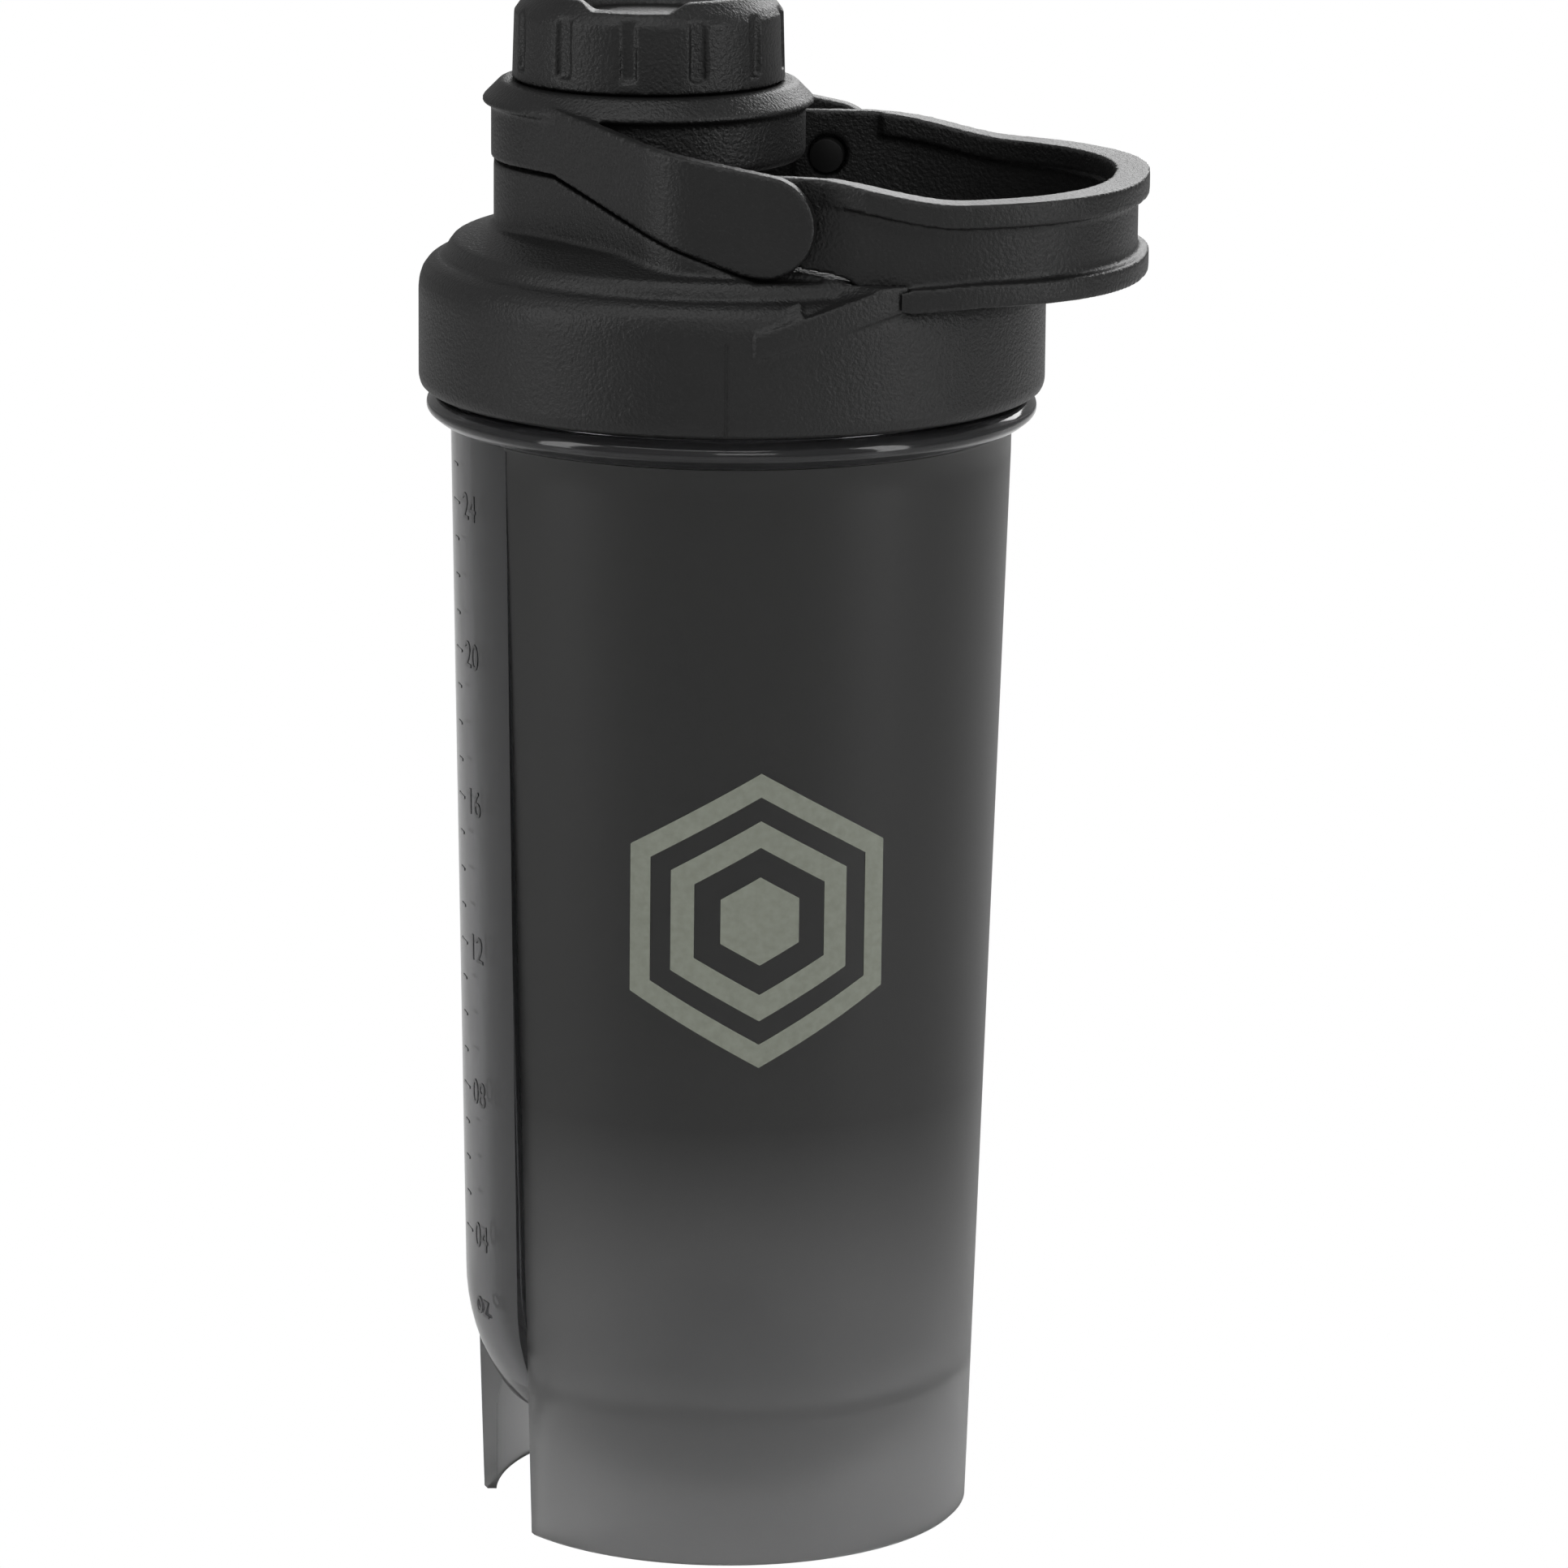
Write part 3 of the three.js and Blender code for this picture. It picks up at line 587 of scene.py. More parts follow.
def addMarks(m):
    tree, sockets = tickTree()
    ticks = grown("ticks", tree, sockets, {
        "Count": m["ticks"], "Rise": m["rise"] / 4, "Long": m["tickLong"], "Short": m["tickShort"],
        "Thick": m["tickThick"], "Proud": m["proud"] * 2, "Finish": smokeStrip})
    wrap(ticks, stripRadius, m["tickAngle"], m["firstHeight"], 0)
    pieces = [ticks]
    for i, label in enumerate(m["labels"] + ["oz"]):
        text = bpy.data.curves.new("label", "FONT")
        text.body = label
        text.size = m["letterHeight"] * m["fontScale"]
        text.extrude = m["proud"]
        text.align_x, text.align_y = "CENTER", "CENTER"
        text.resolution_u = 3
        letter = bpy.data.objects.new("label", text)
        bpy.context.scene.collection.objects.link(letter)
        graph = bpy.context.evaluated_depsgraph_get()
        mesh = bpy.data.meshes.new_from_object(letter.evaluated_get(graph))
        bpy.data.objects.remove(letter)
        shape = bpy.data.objects.new("label", mesh)
        bpy.context.scene.collection.objects.link(shape)
        base = m["firstHeight"] + i * m["rise"] if label != "oz" else m["firstHeight"] - m["unitDrop"]
        wrap(shape, stripRadius, m["numberAngle"], base, 0)
        pieces.append(shape)
    shape = bmesh.new()
    for piece in pieces:
        shape.from_mesh(piece.data)
    bmesh.ops.remove_doubles(shape, verts=shape.verts, dist=0.0005)
    mesh = bpy.data.meshes.new("fillMarks")
    shape.to_mesh(mesh)
    shape.free()
    for piece in pieces:
        bpy.data.objects.remove(piece)
    whole = bpy.data.objects.new("fillMarks", mesh)
    bpy.context.scene.collection.objects.link(whole)
    finished(whole, "fillMarks", smokeStrip, "cup", [], sharp=30)


addMarks(marks)

emblem = {
    "angle": -75.3, "height": 103.0, "radius": 23.0,   # a plain nested hexagon in place of the printed mark
    "bands": [(1.0, 0.84), (0.68, 0.5), (0.3, 0.0)], "ink": 0.06, "steps": 16,
}


def addEmblem(e):
    verts, faces = [], []
    for outer, inner in e["bands"]:
        rows = 6
        start = len(verts)
        ring = 6 * e["steps"]
        for row in range(rows + 1):
            size = e["radius"] * (outer + (inner - outer) * row / rows)
            for side in range(6):
                a = Vector((math.cos(math.radians(60 * side + 30)), math.sin(math.radians(60 * side + 30))))
                b = Vector((math.cos(math.radians(60 * side + 90)), math.sin(math.radians(60 * side + 90))))
                for k in range(e["steps"]):
                    spot = a.lerp(b, k / e["steps"]) * max(size, 0.01)
                    verts.append((spot[0], spot[1], 0))
        for row in range(rows):
            for k in range(ring):
                j = (k + 1) % ring
                faces.append((start + row * ring + k, start + row * ring + j,
                              start + (row + 1) * ring + j, start + (row + 1) * ring + k))
    mesh = bpy.data.meshes.new("emblem")
    mesh.from_pydata(verts, [], faces)
    piece = bpy.data.objects.new("emblem", mesh)
    bpy.context.scene.collection.objects.link(piece)
    wrap(piece, wallRadius, e["angle"], e["height"], 0.03)
    film = piece.modifiers.new("film", "SOLIDIFY")
    film.thickness = e["ink"]
    film.offset = 1
    baked(piece)
    shape = bmesh.new()
    shape.from_mesh(piece.data)
    bmesh.ops.remove_doubles(shape, verts=shape.verts, dist=0.012)
    bmesh.ops.recalc_face_normals(shape, faces=shape.faces)
    shape.to_mesh(piece.data)
    shape.free()
    finished(piece, "printedEmblem", emblemInk, "cup", [], sharp=40)


addEmblem(emblem)


lid = {
    "skirtRadius": 48.0, "skirtWall": 2.6, "shoulder": 4.4, "domeRadius": 36.5, "wall": 2.4,
    "pivotX": 10.2, "armSpread": 41.0, "armThick": 3.2, "armEnd": 7.7, "ringRadius": 24.0,
    "seatRun": 11.0, "seatStop": 1.0,   # where its fall starts and stops, from spout and pivots
    "spoutX": -13.1, "spoutRadius": 12.0, "pinRadius": 2.6, "running": 0.45,
    "bracketReach": 4.5, "flareReach": 30.0, "flareRise": 5.8, "flareTip": 32.2, "flareLip": 0.6, "stud": 2.2,
    "grain": 0.42, "relax": 1,
}
armBottom = levels["pivot"] - lid["armEnd"]
slopeStart = lid["spoutX"] - lid["seatRun"]
slopeEnd = lid["pivotX"] - lid["seatStop"]
cheekFace = lid["armSpread"] - lid["armThick"] - lid["running"]


# plan line of the seat and the yoke: straight beside the pivots, then tangent to the spout's ring
def armOutline(inset, reach, steps=48):
    corner = lid["pivotX"] - lid["armEnd"] - 7.3
    side = lid["armSpread"] - inset
    radius = lid["ringRadius"] - inset
    away = corner - lid["spoutX"]
    lean = math.atan2(side, away) + math.acos(radius / math.hypot(away, side))
    touch = (lid["spoutX"] + radius * math.cos(lean), radius * math.sin(lean))
    upper = [(reach, side)]
    for i in range(9):
        t = i / 8
        a = (corner + 5 * (1 - t), side)
        b = (corner + (touch[0] - corner) * 0.16 * t, side + (touch[1] - side) * 0.16 * t)
        upper.append((a[0] * (1 - t) + b[0] * t, a[1] * (1 - t) + b[1] * t))
    lean = math.degrees(lean)
    return upper + arc((lid["spoutX"], 0), radius, lean, 360 - lean, steps) + mirrored(upper)


# the raised seat under the yoke, grown by a clearance
def seatBlock(z, grow):
    low = z["skirtBottom"] + 9
    side = [(-60, z["seatTop"] + grow), (slopeStart, z["seatTop"] + grow),
            (slopeEnd + grow, armBottom - 0.6 + grow), (slopeEnd + 5.2 + grow, z["skirtTop"] - 1.4),
            (slopeEnd + 5.2 + grow, low), (-60, low)]
    return keep(prism(armOutline(0.4 - grow, 40), low, z["seatTop"]), prism(side, -80, 80, "side"))


# half a superellipse drawn out to the tip, with straight cheeks back to the pivots
def loopLine(inset, start, steps=40):
    half = []
    for i in range(steps + 1):
        angle = i / steps * math.pi / 2
        x = loop["shoulder"] + (loop["reach"] - loop["shoulder"] - inset) * math.sin(angle) ** 0.92
        y = (loop["halfWidth"] - inset) * max(math.cos(angle), 0) ** 0.86
        half.append((x, 0.0 if i == steps else y))
    upper = [(start, cheekFace - inset)] + half
    return upper + mirrored(upper[:-1])


loop = {
    "reach": 63.5, "halfWidth": 38.8, "shoulder": 22.0, "wall": 2.6, "lip": 1.7, "height": 15.5,
    "lipHeight": 3.6, "cheekLead": 5.5, "nub": 2.2, "grain": 0.42, "relax": 3,
}


def addLid(v, z):
    top, radius = z["skirtTop"], v["skirtRadius"]
    shell = turned([
        (0, z["skirtBottom"]), (radius - 1.4, z["skirtBottom"]), (radius - 0.3, z["skirtBottom"] + 0.7),
        (radius, z["skirtBottom"] + 1.8), (radius, top), (radius - 0.15, top + 1.4),
        (radius - 0.6, top + 2.8),
        (radius - 1.5, top + 4), (radius - 2.6, top + 4.7), (radius - v["shoulder"] + 0.5, top + 5),
        (radius - v["shoulder"], z["stepTop"] + 0.9), (radius - v["shoulder"] - 0.9, z["stepTop"] + 2.1),
        (v["domeRadius"], z["domeEdge"] - 2), (v["domeRadius"] * 0.6, z["domeEdge"] - 0.8),
        (0, z["domeEdge"])])
    ceiling = z["domeEdge"] - 2 - v["wall"]
    bore = radius - v["skirtWall"]
    seal = cup["topRadius"] - cup["wall"] - 0.6
    hollow = turned([
        (0, z["skirtBottom"] - 1), (bore, z["skirtBottom"] - 1), (bore, z["gasketTop"] + 0.3),
        (seal, z["gasketTop"] + 0.3), (seal, z["gasketTop"] + 2), (bore - 1.6, z["gasketTop"] + 2.6),
        (bore - 2, top + 2), (v["domeRadius"], ceiling), (v["domeRadius"] * 0.6, ceiling + 1.2),
        (0, ceiling + 2)])
    seat = seatBlock(z, 0.0)
    # gussets under the pivots, then the flange that climbs to the loop's lower lip, on one side and mirrored
    inner = cheekFace - loop["lip"] + layout["gap"]
    root = top - 3
    px = v["pivotX"]
    gusset = prism([(px - 11, inner), (px + v["bracketReach"], inner),
                    (px + v["bracketReach"], cheekFace + 0.6),
                    (px - 2, radius - 1.4), (px - 11, radius)], root, armBottom + 5)
    keep(gusset,
         prism([(px - 11, root), (px + v["bracketReach"], root), (px + v["bracketReach"], top - 0.5),
                (px - 1.5, armBottom - 0.8), (px - 11, armBottom + 4)], -80, 80, "side"),
         prism([(inner, root), (radius, root), (radius, top), (v["armSpread"] - 0.4, armBottom),
                (inner, armBottom + 5)], -20, 40, "front"),
         rod(radius - 0.1, root - 1, armBottom + 6, (0, 0), steps=160))
    edge = root + loop["lipHeight"]
    flare = prism([(inner, root), (radius + 2, root), (radius + 2, edge - 0.5), (radius + 1, edge),
                   (inner + 4, edge + 0.9),
                   (inner + 2.4, edge + 1.9), (inner + 1.4, edge + 3.2), (inner + 0.8, edge + 5),
                   (inner + 0.4, edge + 7), (inner, edge + 7.2)], px, v["flareTip"], "front")
    climb = Matrix.Identity(4)
    climb[2][0] = v["flareRise"] / (v["flareReach"] - px)
    climb[2][3] = -climb[2][0] * px
    flare.data.transform(climb)
    crest = edge + v["flareRise"] + 0.6
    keep(flare, rod(radius + v["flareLip"], root - 1, top + 16, (0, 0), steps=160),
         prism([(0, root - 1), (40, root - 1), (40, crest), (px + 14, crest), (px + 4, edge + 9),
                (0, edge + 9)],
               -80, 80, "side"))
    half = v["stud"] / 2
    stud = prism([(-half, -1.4), (half, -1.4), (half, 1.4), (-half, 1.4)], -1, 1)   # square detent
    tilt = Matrix.Translation((px + v["bracketReach"] + 1, radius - 4.5, top + 3.4))
    tilt = tilt @ Matrix.Rotation(-0.3, 4, "Y") @ Matrix.Rotation(0.75 - math.pi / 2, 4, "X")
    stud.data.transform(tilt)
    join(gusset, flare, stud)
    cheekRoom = prism(loopLine(loop["lip"] - layout["gap"], px - loop["cheekLead"]), z["skirtBottom"], 240)
    far = flipped(gusset)
    join(gusset, far)
    cut(gusset, cheekRoom)
    join(shell, seat, gusset)
    seatHollow = prism(armOutline(2.8, px), z["gasketTop"] + 4, z["seatTop"] - 2.4)
    keep(seatHollow, prism([(-60, z["seatTop"] - 2.4), (slopeStart, z["seatTop"] - 2.4),
                            (slopeEnd, armBottom - 3),
                            (slopeEnd, z["gasketTop"] + 4), (-60, z["gasketTop"] + 4)], -80, 80, "side"))
    cut(shell, hollow, seatHollow,
        rod(v["spoutRadius"] + 0.3, z["skirtBottom"], z["seatTop"] + 5, (v["spoutX"], 0), steps=96),
        rod(v["pinRadius"] + v["running"], -60, 60, (px, z["pivot"]), "side", 48))
    # room for the yoke's arms outside the cheeks
    room = [(slopeStart, z["seatTop"]), (slopeEnd, armBottom - 0.6), (px + v["armEnd"] + 1, armBottom - 0.6),
            (px + v["armEnd"] + 1, 240), (slopeStart, 240)]
    cut(shell, prism(room, cheekFace, 80, "side"), prism(room, -80, -cheekFace, "side"))
    moulded(shell, v["grain"], v["relax"])
    finished(shell, "lidMoulding", blackLid, "lid", ["lid_shell"])


def addLoop(v, z):
    low = z["skirtTop"] + 3.6
    high = low + v["height"]
    px, tip = lid["pivotX"], v["reach"] + 1
    start = px - v["cheekLead"]
    lowEdge = [(start, low - 4), (px + 12, low - 1.4), (v["shoulder"] + 20, low), (tip, low)]
    highEdge = [(tip, high)]
    for i in range(13):
        t = i / 12
        highEdge.append((v["shoulder"] + 18 - t * (v["shoulder"] + 12 - px),
                         high + 3.4 * t * t * (3 - 2 * t)))
    highEdge.append((start, high + 3.4))

    def band(outer, inner, side):
        ring = prism(loopLine(outer, start), z["skirtBottom"], z["seatTop"] + 9)
        cut(ring, prism(loopLine(inner, start - 5), z["skirtBottom"] - 1, z["seatTop"] + 10))
        return keep(ring, prism(side, -80, 80, "side"))

    def lifted(points, rise):
        return [(x, h + rise) for x, h in points]

    wall = band(v["lip"], v["lip"] + v["wall"], lowEdge + highEdge)
    lower = band(0, v["lip"] + v["wall"], lowEdge + lifted(lowEdge, v["lipHeight"])[::-1])
    cut(lower, rod(lid["skirtRadius"] + lid["flareLip"] + 0.3, z["skirtBottom"] - 5, 240, (0, 0), steps=160))
    upper = band(0, v["lip"] + v["wall"] + 1, lifted(highEdge, -v["lipHeight"])[::-1] + highEdge)
    beyond = [(v["shoulder"], 0), (90, 0), (90, 300), (v["shoulder"], 300)]
    keep(lower, prism(beyond, -80, 80, "side"))
    # the upper lip grows out of the cheek just past the pivots
    fade = [(px + 8.4, cheekFace - 0.4), (v["shoulder"] + 6, v["halfWidth"] + 0.6),
            (90, v["halfWidth"] + 0.6)]
    keep(upper, prism(fade + mirrored(fade), 0, 300))
    nub = turned([(0, -v["nub"])] + [(v["nub"] * math.cos(math.radians(a)),
                                      v["nub"] * math.sin(math.radians(a)))
                                     for a in range(-80, 81, 10)] + [(0, v["nub"])], steps=40)
    nub.data.transform(Matrix.Translation((v["reach"] - v["lip"] - v["wall"] - 0.6, 0, high - 6)))
    join(wall, lower, upper, nub)
    radius, top = lid["skirtRadius"] + 0.3, z["skirtTop"]
    room = turned([(0, z["skirtBottom"] - 1), (radius, z["skirtBottom"] - 1), (radius, top),
                   (radius - 0.5, top + 2.7),
                   (radius - 1.8, top + 4.5), (radius - 4, top + 5.3), (radius - 4.4, z["stepTop"] + 1.3),
                   (radius - 5.4, z["stepTop"] + 2.5), (lid["domeRadius"], z["domeEdge"] - 1.7),
                   (0, z["domeEdge"] + 0.3)])
    seat = seatBlock(z, layout["gap"])
    cut(wall, room, seat, rod(lid["pinRadius"] + lid["running"], -60, 60, (px, z["pivot"]), "side", 48))
    moulded(wall, v["grain"], v["relax"])
    finished(wall, "fingerLoop", blackLid, "lid", ["carry_loop"])


seam = {"angle": -83.0, "low": 178.4, "high": 192.4, "wide": 0.35, "proud": 0.12}


def addSeam(v):
    radius = lid["skirtRadius"]
    rib = prism([(radius - 0.6, -v["wide"] / 2), (radius + v["proud"], -v["wide"] / 4),
                 (radius + v["proud"], v["wide"] / 4), (radius - 0.6, v["wide"] / 2)], v["low"], v["high"])
    rib.data.transform(Matrix.Rotation(math.radians(v["angle"]), 4, "Z"))
    finished(rib, "mouldSeam", blackLid, "lid", [], sharp=40)


addLid(lid, levels)
addLoop(loop, levels)
addSeam(seam)


spout = {"x": -13.1, "radius": 12.0, "bore": 9.8, "rise": 14.0, "collar": 15.0, "collarHeight": 5.5,
         "thread": 1.2}

yoke = {
    "ring": 24.0, "flange": 25.3, "capSkirt": 19.4, "armThick": 3.2, "grain": 0.42, "relax": 3,
}

cap = {
    "radius": 20.8, "height": 13.4, "skirt": 19.4, "skirtDepth": 9.8, "wall": 1.8, "recess": 4.2,
    "bevel": 3.2,
    "grooves": 12, "grooveWidth": 2.6, "grooveDepth": 0.9, "grain": 0.36, "relax": 2,
}


def addSpout(v, z):
    foot = z["domeEdge"] - lid["wall"] - 3
    top, base = z["ringBottom"] + v["rise"], z["seatTop"] + 0.3
    tube = turned(softened([
        (v["bore"], foot), (v["radius"], foot), (v["radius"], base), (v["collar"], base),
        (v["collar"], base + v["collarHeight"]), (v["radius"] + 0.6, base + v["collarHeight"] + 1),
        (v["radius"], top - 1), (v["radius"] - 0.8, top), (v["bore"], top)], 0.5), v["x"], 96)
    join(tube, neckThread(v["collar"] - 0.2, v["thread"], base + 1.7, 2.6, 0.9, v["x"]))
    finished(tube, "drinkingSpout", blackSmooth, "lid", ["spout"], sharp=40)
    seal = cup["topRadius"] - cup["wall"] - 0.4
    outer = lid["skirtRadius"] - lid["skirtWall"] - 0.3
    ring = turned(softened([(seal, z["rimTop"] + 0.3), (outer, z["rimTop"] + 0.3), (outer, z["gasketTop"]),
                            (seal, z["gasketTop"])], 0.35))
    finished(ring, "rimSeal", sealRubber, "lid", ["lid_gasket"], sharp=40)


def addYoke(v, z):
    x, px = spout["x"], lid["pivotX"]
    ring = turned([
        (v["ring"] - 1, z["ringBottom"]), (v["ring"], z["ringBottom"] + 0.8),
        (v["ring"], z["flangeBase"] - 0.4),
        (v["flange"], z["flangeBase"]), (v["flange"], z["flangeBase"] + 0.7), (v["ring"] - 1.4, z["ringTop"]),
        (v["capSkirt"], z["ringTop"]), (v["capSkirt"], z["ringBottom"])], x)
    armTop = z["ringTop"] - 1.6
    arms = prism(armOutline(0, px + lid["armEnd"] + 1), armBottom, armTop)
    cut(arms, prism(armOutline(v["armThick"], px + 40), armBottom - 1, armTop + 1))
    keep(arms, prism([(-70, z["ringBottom"]), (slopeStart, z["ringBottom"]), (px - 3, armBottom + 0.4)]
                     + arc((px, z["pivot"]), lid["armEnd"], 270, 440, 30)
                     + [(x - 12, armTop), (-70, armTop)], -80, 80, "side"))
    join(ring, arms)
    retainer = z["capBase"] - cap["skirtDepth"] + 1.8
    cut(ring, rod(v["capSkirt"] + lid["running"], z["ringBottom"] - 1, z["ringTop"] + 1, (x, 0), steps=120),
        rod(v["ring"] - 2.4, z["ringBottom"] - 1, retainer + 0.3, (x, 0), steps=120))
    moulded(ring, v["grain"], v["relax"])
    finished(ring, "flipYoke", blackLid, "yoke", ["flip_arm"])
    inner, outer = cheekFace - loop["wall"] - loop["lip"] - 1.5, lid["armSpread"] - v["armThick"] - 0.3
    for side, name in ((-1, "near"), (1, "far")):
        low, high = sorted((side * inner, side * outer))
        pin = rod(lid["pinRadius"], low, high, (px, z["pivot"]), "side", 48)
        edge = pin.modifiers.new("edge", "BEVEL")
        edge.width, edge.segments, edge.limit_method = 0.35, 3, "ANGLE"
        baked(pin)
        finished(pin, name + "Pin", blackSmooth, "yoke", ["pivot_pin_" + name], sharp=40)


# Geometry Nodes: upright blocks set evenly round the cap, facing out
def grooveTree():
    tree, sockets, given = newTree("capGrooves", {
        "Count": "Int", "Radius": "Float", "Width": "Float", "Depth": "Float", "Height": "Float",
        "Finish": "Material"})
    ring = addNode(tree, "GeometryNodeCurvePrimitiveCircle",
                   {"Resolution": given["Count"], "Radius": given["Radius"]})
    spots = addNode(tree, "GeometryNodeCurveToPoints", {"Curve": ring.outputs[0], "Count": given["Count"]})
    size = addNode(tree, "ShaderNodeCombineXYZ", {"X": given["Depth"], "Y": given["Width"],
                                                  "Z": given["Height"]})
    block = addNode(tree, "GeometryNodeMeshCube")
    block.inputs["Size"].default_value = (1, 1, 1)
    index = addNode(tree, "GeometryNodeInputIndex")
    part = addNode(tree, "ShaderNodeMath", {0: index.outputs[0], 1: given["Count"]}, operation="DIVIDE")
    angle = addNode(tree, "ShaderNodeMath", {0: part.outputs[0]}, operation="MULTIPLY")
    angle.inputs[1].default_value = 2 * math.pi
    turn = addNode(tree, "ShaderNodeCombineXYZ", {"Z": angle.outputs[0]})
    placed = addNode(tree, "GeometryNodeInstanceOnPoints", {
        "Points": spots.outputs[0], "Instance": block.outputs[0], "Rotation": turn.outputs[0],
        "Scale": size.outputs[0]})
    closeTree(tree, placed.outputs[0], given["Finish"])
    return tree, sockets


def addCap(v, z):
    x, base = spout["x"], z["capBase"]
    top = base + v["height"]
    bell = turned([
        (0, base - v["skirtDepth"]), (v["skirt"], base - v["skirtDepth"]), (v["skirt"], base),
        (v["radius"], base),
        (v["radius"] - 0.3, top - v["bevel"]), (v["radius"] - v["bevel"] * 0.36, top - v["bevel"] * 0.62),
        (v["radius"] - v["bevel"] * 0.7, top - v["bevel"] * 0.3), (v["radius"] - v["bevel"], top), (0, top)])
    inside = turned([
        (0, base - v["skirtDepth"] - 1), (v["skirt"] - v["wall"], base - v["skirtDepth"] - 1),
        (v["skirt"] - v["wall"], top - v["recess"] - v["wall"] - 2),
        (v["skirt"] - v["wall"] - 2, top - v["recess"] - v["wall"]), (0, top - v["recess"] - v["wall"])])
    crown = turned([
        (0, top - v["recess"]), (v["radius"] - v["bevel"] - 3.6, top - v["recess"]),
        (v["radius"] - v["bevel"] - 1.4, top + 1), (0, top + 1)])
    dip = prism([(-6, top - 1.4), (-9.5, top + 1), (9.5, top + 1), (6, top - 1.4)], -80, 80, "side")
    ledge = base - v["skirtDepth"]
    snap = turned([(v["skirt"] - 0.9, ledge + 0.5), (v["skirt"] + 1, ledge + 0.5),
                   (v["skirt"] + 1, ledge + 2.1),
                   (v["skirt"] - 0.9, ledge + 2.1)])
    cut(bell, inside, crown, dip, snap)
    tree, sockets = grooveTree()
    blocks = grown("grooves", tree, sockets, {
        "Count": v["grooves"], "Radius": v["radius"], "Width": v["grooveWidth"],
        "Depth": v["grooveDepth"] * 2,
        "Height": v["height"] - v["bevel"], "Finish": blackLid})
    blocks.data.transform(Matrix.Translation((0, 0, base + 1.8 + (v["height"] - v["bevel"]) / 2)))
    cut(bell, blocks)
    bell.data.transform(Matrix.Translation((x, 0, 0)))
    moulded(bell, v["grain"], v["relax"])
    finished(bell, "screwCap", blackLid, "cap", ["screw_cap"])
    ring = turned(softened([(v["skirt"] - 0.6, ledge + 0.8), (yoke["ring"] - 2.85, ledge + 0.8),
                            (yoke["ring"] - 2.85, ledge + 1.8), (v["skirt"] - 0.6, ledge + 1.8)], 0.25), x,
                            96)
    finished(ring, "snapRing", blackSmooth, "cap", ["cap_retainer"], sharp=40)
    under = top - v["recess"] - v["wall"] - 0.3
    disc = turned(softened([(0, under - 1.2), (spout["radius"] + 1.6, under - 1.2),
                            (spout["radius"] + 1.6, under),
                            (0, under)], 0.4), x, 96)
    finished(disc, "capSeal", sealRubber, "cap", ["cap_liner"], sharp=40)


addSpout(spout, levels)
addYoke(yoke, levels)
addCap(cap, levels)


ball = {"radius": 11.6, "wire": 1.1, "height": 23.3, "hoops": 3}


# Geometry Nodes: wire hoops, one level and the rest upright, turned evenly about +Z
def hoopTree():
    tree, sockets, given = newTree("wireHoops", {
        "Radius": "Float", "Wire": "Float", "Hoops": "Int", "Finish": "Material"})
    circle = addNode(tree, "GeometryNodeCurvePrimitiveCircle", {"Radius": given["Radius"]})
    circle.inputs["Resolution"].default_value = 72
    section = addNode(tree, "GeometryNodeCurvePrimitiveCircle", {"Radius": given["Wire"]})
    section.inputs["Resolution"].default_value = 14
    hoop = addNode(tree, "GeometryNodeCurveToMesh", {"Curve": circle.outputs[0],
                                                     "Profile Curve": section.outputs[0]})
    line = addNode(tree, "GeometryNodeMeshLine", {"Count": given["Hoops"]})
    line.inputs["Offset"].default_value = (0, 0, 0)
    index = addNode(tree, "GeometryNodeInputIndex")
    part = addNode(tree, "ShaderNodeMath", {0: index.outputs[0], 1: given["Hoops"]}, operation="DIVIDE")
    angle = addNode(tree, "ShaderNodeMath", {0: part.outputs[0]}, operation="MULTIPLY")
    angle.inputs[1].default_value = math.pi
    turn = addNode(tree, "ShaderNodeCombineXYZ", {"Z": angle.outputs[0]})
    turn.inputs["X"].default_value = math.pi / 2
    upright = addNode(tree, "GeometryNodeInstanceOnPoints", {
        "Points": line.outputs[0], "Instance": hoop.outputs[0], "Rotation": turn.outputs[0]})
    both = addNode(tree, "GeometryNodeJoinGeometry", {0: upright.outputs[0]})
    tree.links.new(hoop.outputs[0], both.inputs[0])
    closeTree(tree, both.outputs[0], given["Finish"])
    return tree, sockets


def addBall(v):
    tree, sockets = hoopTree()
    whisk = grown("whisk", tree, sockets, {
        "Radius": v["radius"], "Wire": v["wire"], "Hoops": v["hoops"], "Finish": wireSteel})
    whisk.data.transform(Matrix.Translation((0, 0, v["height"])))
    finished(whisk, "wireWhisk", wireSteel, "ball", ["mixing_ball"])


addBall(ball)


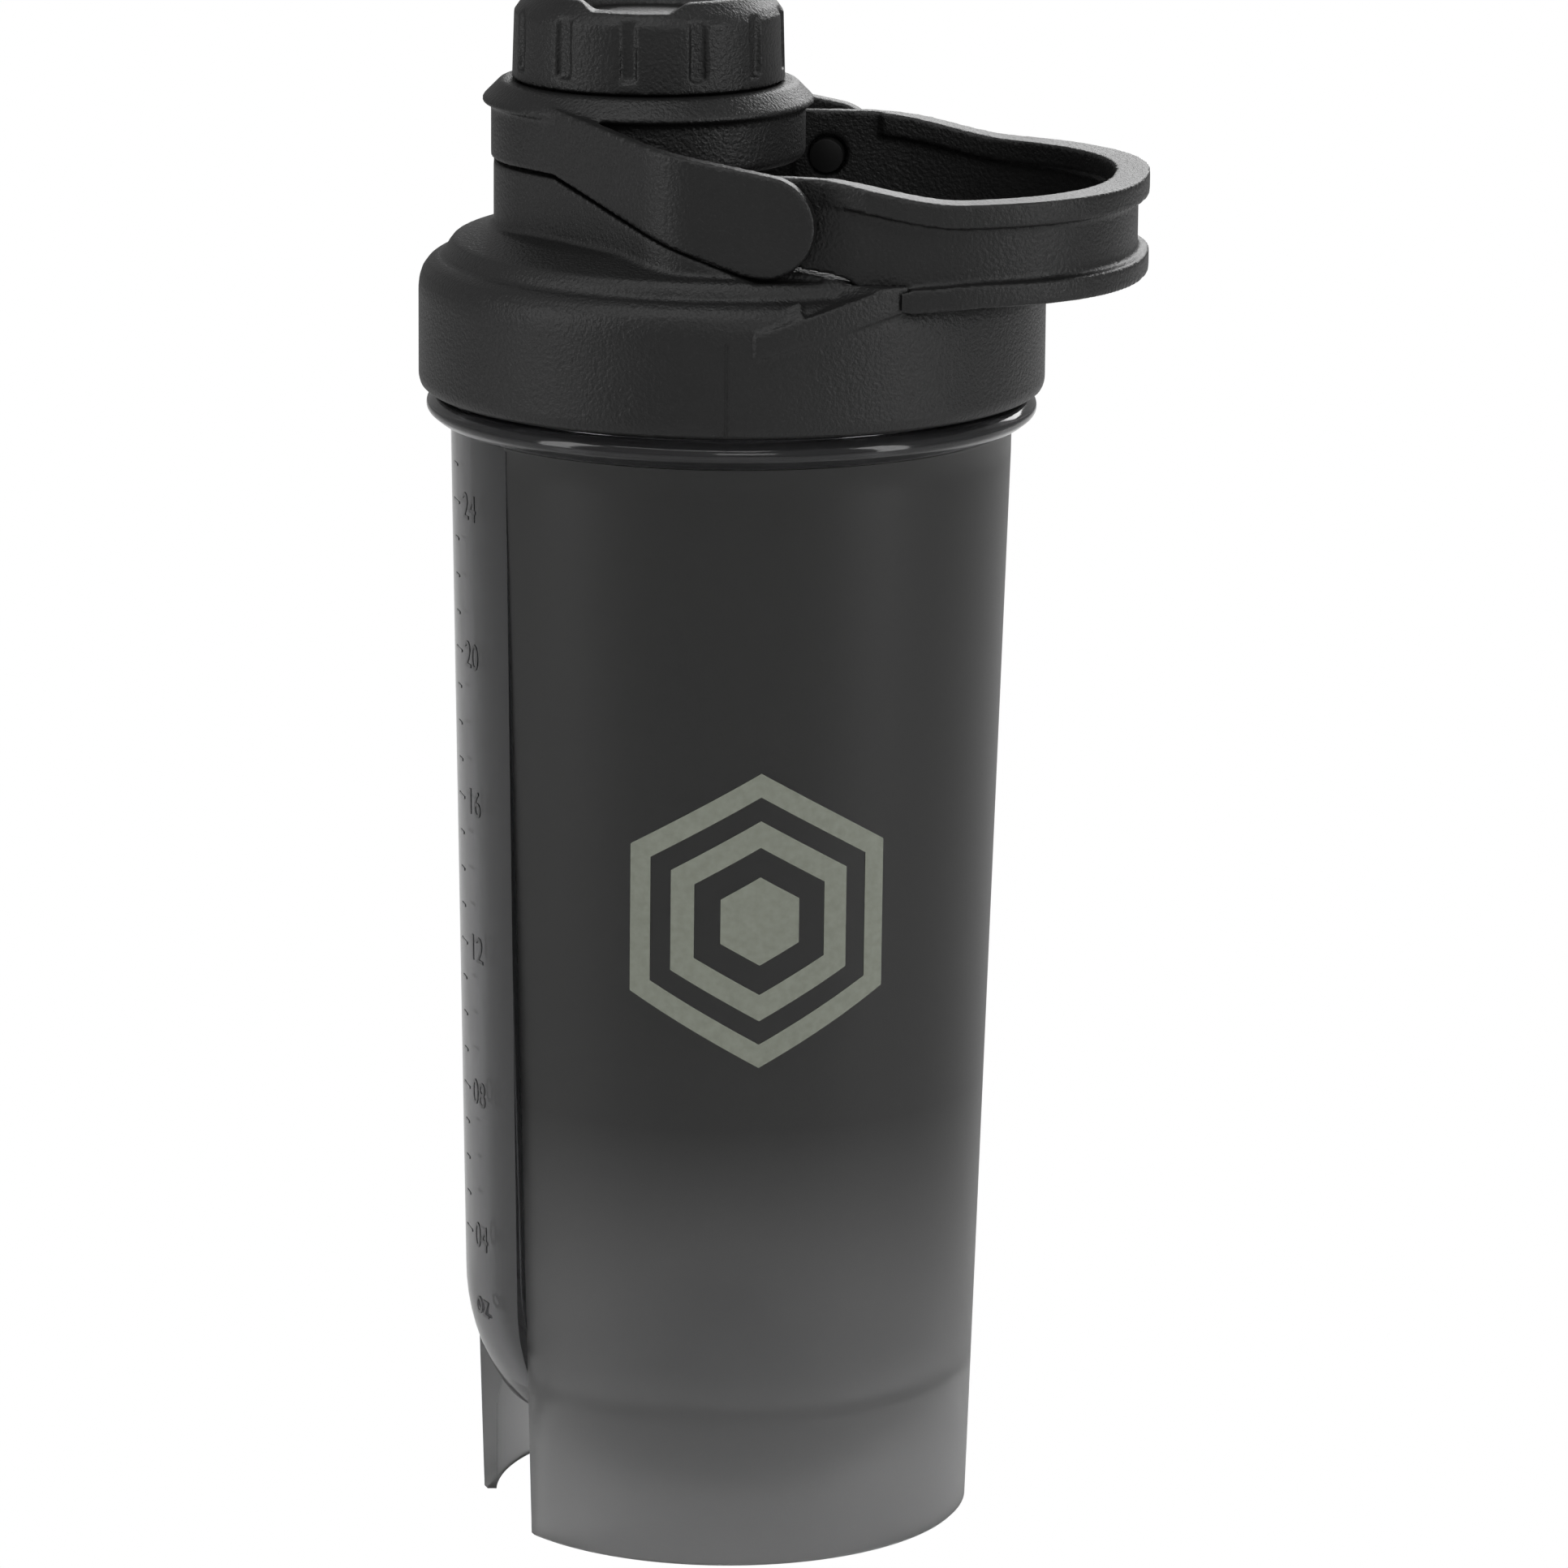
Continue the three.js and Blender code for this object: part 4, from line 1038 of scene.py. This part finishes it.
studio = {
    "floor": "#dcdcdc", "speckle": "#e4e4e4", "speckleSize": 60.0, "floorRough": 0.85, "reach": 6.0,
    "sweep": 1.0, "world": "#f2f2f2", "worldPower": 0.3,
    "aim": 0.13,   # height in metres that every light faces
    "lights": [   # name, place in metres, size, watts
        ("leftBox", (-0.95, -0.55, 0.55), (0.3, 1.1), 3.4),
        ("rightBox", (0.95, -0.35, 0.5), (0.25, 1.1), 3.2),
        ("topBox", (-0.1, -0.35, 1.1), (0.8, 0.5), 2.2),
        ("backBox", (0.25, 1.0, 0.7), (0.9, 0.5), 7.0),
        ("frontFill", (0.35, -1.5, 0.9), (0.6, 0.6), 2.2),
    ],
}


def addStudio(v):
    far = v["reach"]
    floor = addMesh("floor", [(-far, -far, 0), (far, -far, 0), (far, far, 0), (-far, far, 0)], [(0, 1, 2, 3)])
    material, tree, shader, place = newMaterial("matteFloor", {"Roughness": v["floorRough"]})
    speckle = addNode(tree, "ShaderNodeTexNoise", {"Vector": place}, Scale=perMillimetre(v["speckleSize"]))
    tone = addNode(tree, "ShaderNodeValToRGB", {"Fac": speckle.outputs["Fac"]})
    tone.color_ramp.elements[0].color = linear(v["floor"])
    tone.color_ramp.elements[1].color = linear(v["speckle"])
    tree.links.new(tone.outputs["Color"], shader.inputs["Base Color"])
    # the camera sees the floor as plain white, with no shadow on it; every other ray meets a matte floor
    glow = addNode(tree, "ShaderNodeEmission", Strength=v["sweep"])
    seen = addNode(tree, "ShaderNodeLightPath")
    mix = addNode(tree, "ShaderNodeMixShader", {0: seen.outputs["Is Camera Ray"], 1: shader.outputs["BSDF"],
                                                2: glow.outputs["Emission"]})
    tree.links.new(mix.outputs[0], tree.nodes["Material Output"].inputs["Surface"])
    floor.data.materials.append(material)
    world = bpy.data.worlds.new("studio")
    world.use_nodes = True
    back = world.node_tree.nodes["Background"]
    back.inputs["Color"].default_value = linear(v["world"])
    back.inputs["Strength"].default_value = v["worldPower"]
    bpy.context.scene.world = world
    for name, place, size, power in v["lights"]:
        data = bpy.data.lights.new(name, "AREA")
        data.shape = "RECTANGLE"
        data.size, data.size_y = size
        data.energy = power
        lamp = bpy.data.objects.new(name, data)
        bpy.context.scene.collection.objects.link(lamp)
        lamp.location = place
        aim = Vector((0, 0, v["aim"])) - Vector(place)
        lamp.rotation_euler = aim.to_track_quat("-Z", "Y").to_euler()


addStudio(studio)
bpy.context.scene.view_settings.view_transform = "Standard"
print("studio set")
